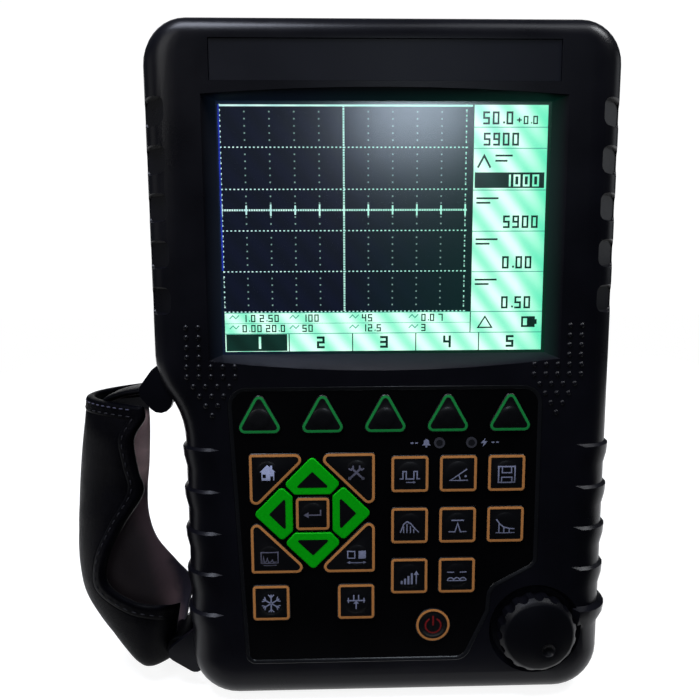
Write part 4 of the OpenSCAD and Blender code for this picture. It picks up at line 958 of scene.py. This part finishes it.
def smooth_line(pts, s):
    """Point on a smooth line through pts, at station s."""
    i = max(0, min(int(s), len(pts) - 2))
    u = s - i
    a, b, c, d = pts[max(i - 1, 0)], pts[i], pts[i + 1], pts[min(i + 2, len(pts) - 1)]
    return 0.5 * (2 * b + (c - a) * u + (2 * a - 5 * b + 4 * c - d) * u * u
                  + (3 * b - 3 * c + d - a) * u ** 3)


def strap_point(a, b, c):
    return np.array([WAIST_X - REACH_MM * a, FACE_Y + DEEP * c, STRAP_Z - DROP * b])


def unit(v):
    return v / np.linalg.norm(v)


STRAP_LINES = [[strap_point(*q) for q in line] for line in (FRONT_EDGE, BELLY, REAR_EDGE)]


def strap_section(s):
    """The bent section at station s: point(w, t) with w from -1 to 1 across and t
    millimetres inward, and the millimetres for one w at either edge."""
    f, b, r = (smooth_line(t, s) for t in STRAP_LINES)
    half, bend = (r - f) / 2, (r + f) / 2 - b

    def point(w, t):
        along = unit(half + 2 * bend * w)
        return b + half * w + bend * w * w + t * unit(bend - bend.dot(along) * along)

    return point, [np.linalg.norm(half + 2 * bend * w) for w in (-1, 1)]


def from_mouth(s):
    """Rough distance in millimetres from the mouth down to station s."""
    return 5.0 * min(s, 1.0) + 8.0 * max(0.0, s - 1.0)


def strap_stations():
    """Stations with the share of the full thickness: rolled ends, finer near the mouth."""
    ends = [math.radians(d) for d in (80, 60, 40, 20, 0)]
    roll = [(0.32 * (1 - math.sin(a)), math.cos(a)) for a in ends]
    low = [(STRAP_END - 0.16 * (1 - math.sin(a)), math.cos(a)) for a in reversed(ends)]
    fine = [0.4, 0.6, 0.8, 0.9, 1.0, 1.04, 1.08, 1.12, 1.16, 1.2, 1.24, 1.3]
    plain = [k / 14 for k in range(19, 14 * STRAP_END - 2)]
    return roll + [(k, 1.0) for k in fine + plain] + low


def strap_mesh():
    """Rings round the strap's section: outer skin, rear edge, lining and front edge.
    Material 1 is the lining; it keeps 4 mm off the mouth and 2 mm off the front edge."""
    verts, faces, mats = [], [], []
    starts = []
    for s, full in strap_stations():
        point, reach = strap_section(s)
        mouth = from_mouth(s)
        lined = 1 if mouth > 4.0 else 0
        lo = [-1 + d / reach[0] for d in EDGE_AT]
        hi = [1 - d / reach[1] for d in reversed(EDGE_AT)]
        gap = hi[0] - lo[-1]
        across = lo + [lo[-1] + gap * j / (MIDDLE + 1) for j in range(1, MIDDLE + 1)] + hi
        edge_mm = list(EDGE_AT) + [9.0] * MIDDLE + list(reversed(EDGE_AT))

        def rise(mm):
            # the turned edge stands out a little, with a groove where it ends
            mm = min(mm, mouth + 0.4)
            return (0.2 * max(0.0, min(1.0, (6.2 - mm) / 0.7))
                    - 0.12 * math.exp(-((mm - 6.4) / 0.4) ** 2))

        def deep(t):
            return THICK / 2 + (t - THICK / 2) * full

        def half_round(j):
            a = math.pi * (j / EDGE_STEPS - 0.5)
            return EDGE_R * (1 - math.cos(a)), deep(THICK / 2 * (1 + math.sin(a)))

        ring = [point(w, deep(-rise(mm))) for w, mm in zip(across, edge_mm)]
        kind = [0] * len(ring)
        for j in range(1, EDGE_STEPS):
            d, t = half_round(j)
            ring.append(point(1 - d / reach[1], t))
            kind.append(lined)
        for w, mm in zip(reversed(across), reversed(edge_mm)):
            ring.append(point(w, deep(THICK)))
            kind.append(lined if mm > 2.0 or w > 0 else 0)
        for j in range(EDGE_STEPS - 1, 0, -1):
            d, t = half_round(j)
            ring.append(point(-1 + d / reach[0], t))
            kind.append(0)
        start, n = len(verts), len(ring)
        verts.extend(Vector(p) * MM for p in ring)
        if starts:
            last = starts[-1]
            for i in range(n):
                j = (i + 1) % n
                faces.append([last + i, start + i, start + j, last + j])
                mats.append(1 if kind[i] and kind[j] else 0)
        starts.append(start)
    # both ends close from the outer to the inner skin, with a fan at either edge
    top, side = len(across), EDGE_STEPS - 1
    for start, flip in ((starts[0], False), (starts[-1], True)):
        caps = [[start + j, start + j + 1, start + 2 * top + side - 2 - j,
                 start + 2 * top + side - 1 - j] for j in range(top - 1)]
        for a in (top - 1, 2 * top + side - 1):
            caps.append([start + k % n for k in range(a + side + 1, a - 1, -1)])
        faces += [cap[::-1] if flip else cap for cap in caps]
    return verts, faces, mats + [0] * (len(faces) - len(mats))


def belt_mesh():
    """The belt that leads from the upper bar into the cup."""
    path = [np.array(q) for q in BELT]
    rows = [smooth_line(path, 0.32 + (len(BELT) - 1.32) * k / BELT_ROWS)
            for k in range(BELT_ROWS + 1)]
    verts = []
    for k, (a, b, c, h) in enumerate(rows):
        p, q = rows[max(k - 1, 0)], rows[min(k + 1, BELT_ROWS)]
        go = unit(np.array([(p[0] - q[0]) * REACH_MM, 0.0, (p[1] - q[1]) * DROP]))
        up = np.array([go[2], 0.0, -go[0]])
        mid, half = strap_point(a, b, c), h * BAR_LEN
        for x, y in circle(0, 0, 1.0, BELT_SIDES):
            side = math.copysign(min(1.0, abs(x) ** 0.35), x) if abs(x) > 1e-6 else 0.0
            verts.append(Vector(mid + np.array([0.0, half * side, 0.0])
                                + up * BELT_HALF * y) * MM)
    ends = [list(range(BELT_SIDES - 1, -1, -1)),
            list(range(BELT_ROWS * BELT_SIDES, len(verts)))]
    return verts, bands(len(rows), BELT_SIDES) + ends


def stitches(lines, pitch=3.5, length=2.3, r=0.3):
    """Thread stitches, half sunk, along lists of (point, normal) in millimetres."""
    verts, faces = [], []
    # along the stitch, share of its radius, and how deep it sinks
    profile = ((0.0, 0.35, 0.34), (0.18, 0.9, 0.05), (0.5, 1.0, 0.0), (0.82, 0.9, 0.05),
               (1.0, 0.35, 0.34))
    for line in lines:
        pts, nrm = (np.array(column) for column in zip(*line))
        run = np.concatenate([[0], np.cumsum(np.linalg.norm(np.diff(pts, axis=0), axis=1))])

        def along(values, t):
            return np.array([np.interp(t, run, values[:, k]) for k in range(3)])

        t = 1.0
        while t + length < run[-1]:
            a, b, up = along(pts, t), along(pts, t + length), along(nrm, t)
            go = unit(b - a)
            up = unit(up - up.dot(go) * go)
            side = np.cross(go, up)
            start = len(verts)
            for f, grow, sink in profile:
                c = a + (b - a) * f - up * sink
                verts += [Vector(c + r * grow * (side * x + up * y)) * MM
                          for x, y in circle(0, 0, 1.0, STITCH_SIDES)]
            faces += bands(len(profile), STITCH_SIDES, start)
            faces.append(list(range(start + STITCH_SIDES - 1, start - 1, -1)))
            faces.append(list(range(len(verts) - STITCH_SIDES, len(verts))))
            t += pitch
    return verts, faces


def seam_point(point, w):
    p, q = point(w, SEAM_DEEP), point(w, SEAM_DEEP * 2)
    return p, unit(q - p)


def side_seam(side, steps=150):
    """Points and normals along a side edge."""
    line, first, last = [], 0.85, STRAP_END - 0.6
    for k in range(steps + 1):
        point, reach = strap_section(first + (last - first) * k / steps)
        line.append(seam_point(point, side * (1 - SEAM_AT / reach[0 if side < 0 else 1])))
    return line


def mouth_seam(s, steps=40):
    """Points and normals along the mouth at station s."""
    point, reach = strap_section(s)
    lo, hi = -1 + SEAM_AT / reach[0], 1 - SEAM_AT / reach[1]
    return [seam_point(point, lo + (hi - lo) * k / steps) for k in range(steps + 1)]


def sleeve(name, x, z, y0, y1, r_in, r_out):
    """A leather loop round a bar, with rolled ends."""
    half = [(r_in, 0.6), (r_in + 0.3, 0.15), (r_in + 0.9, 0.0), (r_out - 0.9, 0.0),
            (r_out - 0.25, 0.3), (r_out, 1.0)]
    prof = [(r, y0 + d) for r, d in half] + [(r, y1 - d) for r, d in reversed(half)]
    n, verts = 48, []
    for k in range(n):
        a = 2 * math.pi * k / n
        verts += [Vector((x + r * math.cos(a), y, z + r * math.sin(a))) * MM for r, y in prof]
    piece(name, verts, bands(n, len(prof), closed=True), [LEATHER], "leather", angle=50)


v, f, m = strap_mesh()
band = piece("strap_band", v, f, [LEATHER, LINING], "leather", m, angle=50)
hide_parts("hand_strap")
piece("strap_belt", *belt_mesh(), [LEATHER], "leather", angle=50)
seams = stitches([side_seam(-1), side_seam(1), mouth_seam(0.92)])
piece("strap_stitches", *seams, [THREAD], "leather", angle=60)
# stitches on the mouth's lip, in thread paled by a painted highlight
seams = stitches([mouth_seam(0.42)], 3.0, 2.2, 0.26)
piece("strap_mouth_stitches", *seams, [THREAD_PAINTED_HIGHLIGHT], "leather", angle=60)
for name, x, z in (("strap_loop_upper", WAIST_X - 12.4, STRAP_Z - 8.5),
                   ("strap_loop_lower", WAIST_X - 6.8, 14.5)):
    sleeve(name, x, z, FACE_Y + 13.4, FACE_Y + 30.8, 2.5, 5.1)

# Stage: the photo's camera, found from the display's corners and the outline
cam_data = bpy.data.cameras.new("photo_camera")
cam = add_object("photo_camera", cam_data)
cam_data.sensor_width, cam_data.lens = 36.0, 36.0 * 640.0 / 700.0
cam_data.clip_start, cam_data.clip_end = 0.01, 20.0
rx, ry, rz = (math.radians(a) for a in (7.176, 1.483, 0.452))
seen = Matrix.Rotation(rz, 3, "Z") @ Matrix.Rotation(ry, 3, "Y") @ Matrix.Rotation(rx, 3, "X")
to_world = Matrix(((1, 0, 0), (0, 0, -1), (0, 1, 0)))
spot = Vector((-18.54, FACE_Y - 225.62, SCREEN_Z - 13.73)) * MM
cam.matrix_world = Matrix.Translation(spot) @ (to_world @ seen.transposed()).to_4x4()
scene.camera = cam


def any_ray(t, *names):
    """1 for the named kinds of ray."""
    total, *others = (t.node("ShaderNodeLightPath", out=name) for name in names)
    for ray in others:
        total = t.node("ShaderNodeMath", {0: total, 1: ray}, operation="MAXIMUM")
    return total


def stage_mat(name, grey, glow, near=0.15, far=0.6):
    """A diffuse grey that keeps shadows, with a glow that only sight and mirrors see.
    The glow rises to 1 between near and far, in metres from the origin."""
    m = bpy.data.materials.new(name)
    t = empty_tree(m)
    where = t.node("ShaderNodeNewGeometry", out="Position")
    length = t.node("ShaderNodeVectorMath", {0: where}, out="Value", operation="LENGTH")
    fade = t.node("ShaderNodeMapRange", {0: length, 1: near, 2: far, 3: glow, 4: 1.0})
    shine = t.node("ShaderNodeEmission", {0: fade, 1: 1.0})
    none = t.node("ShaderNodeEmission", {1: 0.0})
    sight = any_ray(t, "Is Camera Ray", "Is Glossy Ray", "Is Transmission Ray")
    shown = t.node("ShaderNodeMixShader", {0: sight, 1: none, 2: shine})
    matt = t.node("ShaderNodeBsdfDiffuse", {0: (grey, grey, grey)})
    both = t.node("ShaderNodeAddShader", {0: shown, 1: matt})
    t.node("ShaderNodeOutputMaterial", {0: both})
    return m


# The floor starts just in front of the object, so that the black face mirrors little of it
GROUND = -0.0005
floor = [(-0.55, -0.045, GROUND), (0.6, -0.045, GROUND), (0.6, 0.9, GROUND), (-0.55, 0.9, GROUND)]
backdrop = [(-1.35, 2, GROUND), (1.35, 2, GROUND), (1.35, 2, 1.6), (-1.35, 2, 1.6)]
for name, corners, look in (("floor", floor, stage_mat("floor_pale", 0.3, 0.86)),
                            ("backdrop", backdrop, stage_mat("backdrop_white", 0.3, 1.0))):
    add_mesh(name, corners, [[0, 1, 2, 3]], [look])

world = bpy.data.worlds.new("studio")
scene.world = world
sky = empty_tree(world)
dim = sky.node("ShaderNodeBackground", {0: (0.8, 0.9, 1.0), 1: 0.05})
white = sky.node("ShaderNodeBackground", {0: (1, 1, 1), 1: 1.0})
mixed = sky.node("ShaderNodeMixShader", {0: any_ray(sky, "Is Camera Ray"), 1: dim, 2: white})
sky.node("ShaderNodeOutputWorld", {0: mixed})


def area(name, pos, target, size, power, color=(1, 1, 1)):
    """A square lamp at pos, turned to its target; metres and watts."""
    d = bpy.data.lights.new(name, "AREA")
    d.shape = "RECTANGLE"
    d.size, d.size_y, d.energy, d.color = size, size, power, color
    o = add_object(name, d)
    o.location = pos
    o.rotation_mode = "QUATERNION"
    o.rotation_quaternion = (Vector(target) - Vector(pos)).to_track_quat("-Z", "Y")


area("top_light", (-0.24, -0.24, 0.92), (0, -0.02, 0.14), 0.34, 9.5, (0.8, 0.85, 1))
area("front_light", (0.13, -0.95, 0.47), (0, 0, 0.14), 0.17, 0.85, (0.8, 0.9, 1))
area("back_light", (0.24, -0.2, 0.92), (0, -0.02, 0.14), 0.3, 1.3, (0.9, 0.93, 1))
area("fill_light", (-0.8, -0.85, 0.75), (0, 0, 0.14), 0.6, 6.5)
area("side_light", (-0.9, -0.05, 0.35), (-0.08, 0, 0.1), 0.4, 0.3)
area("corner_light", (0.56, -0.14, 0.84), (0.07, 0, 0.24), 0.28, 5.0, (0.95, 0.97, 1))
area("right_light", (0.9, 0.22, 0.36), (0.08, 0, 0.16), 0.4, 0.4, (0.92, 0.95, 1))
scene.view_settings.view_transform = "Standard"
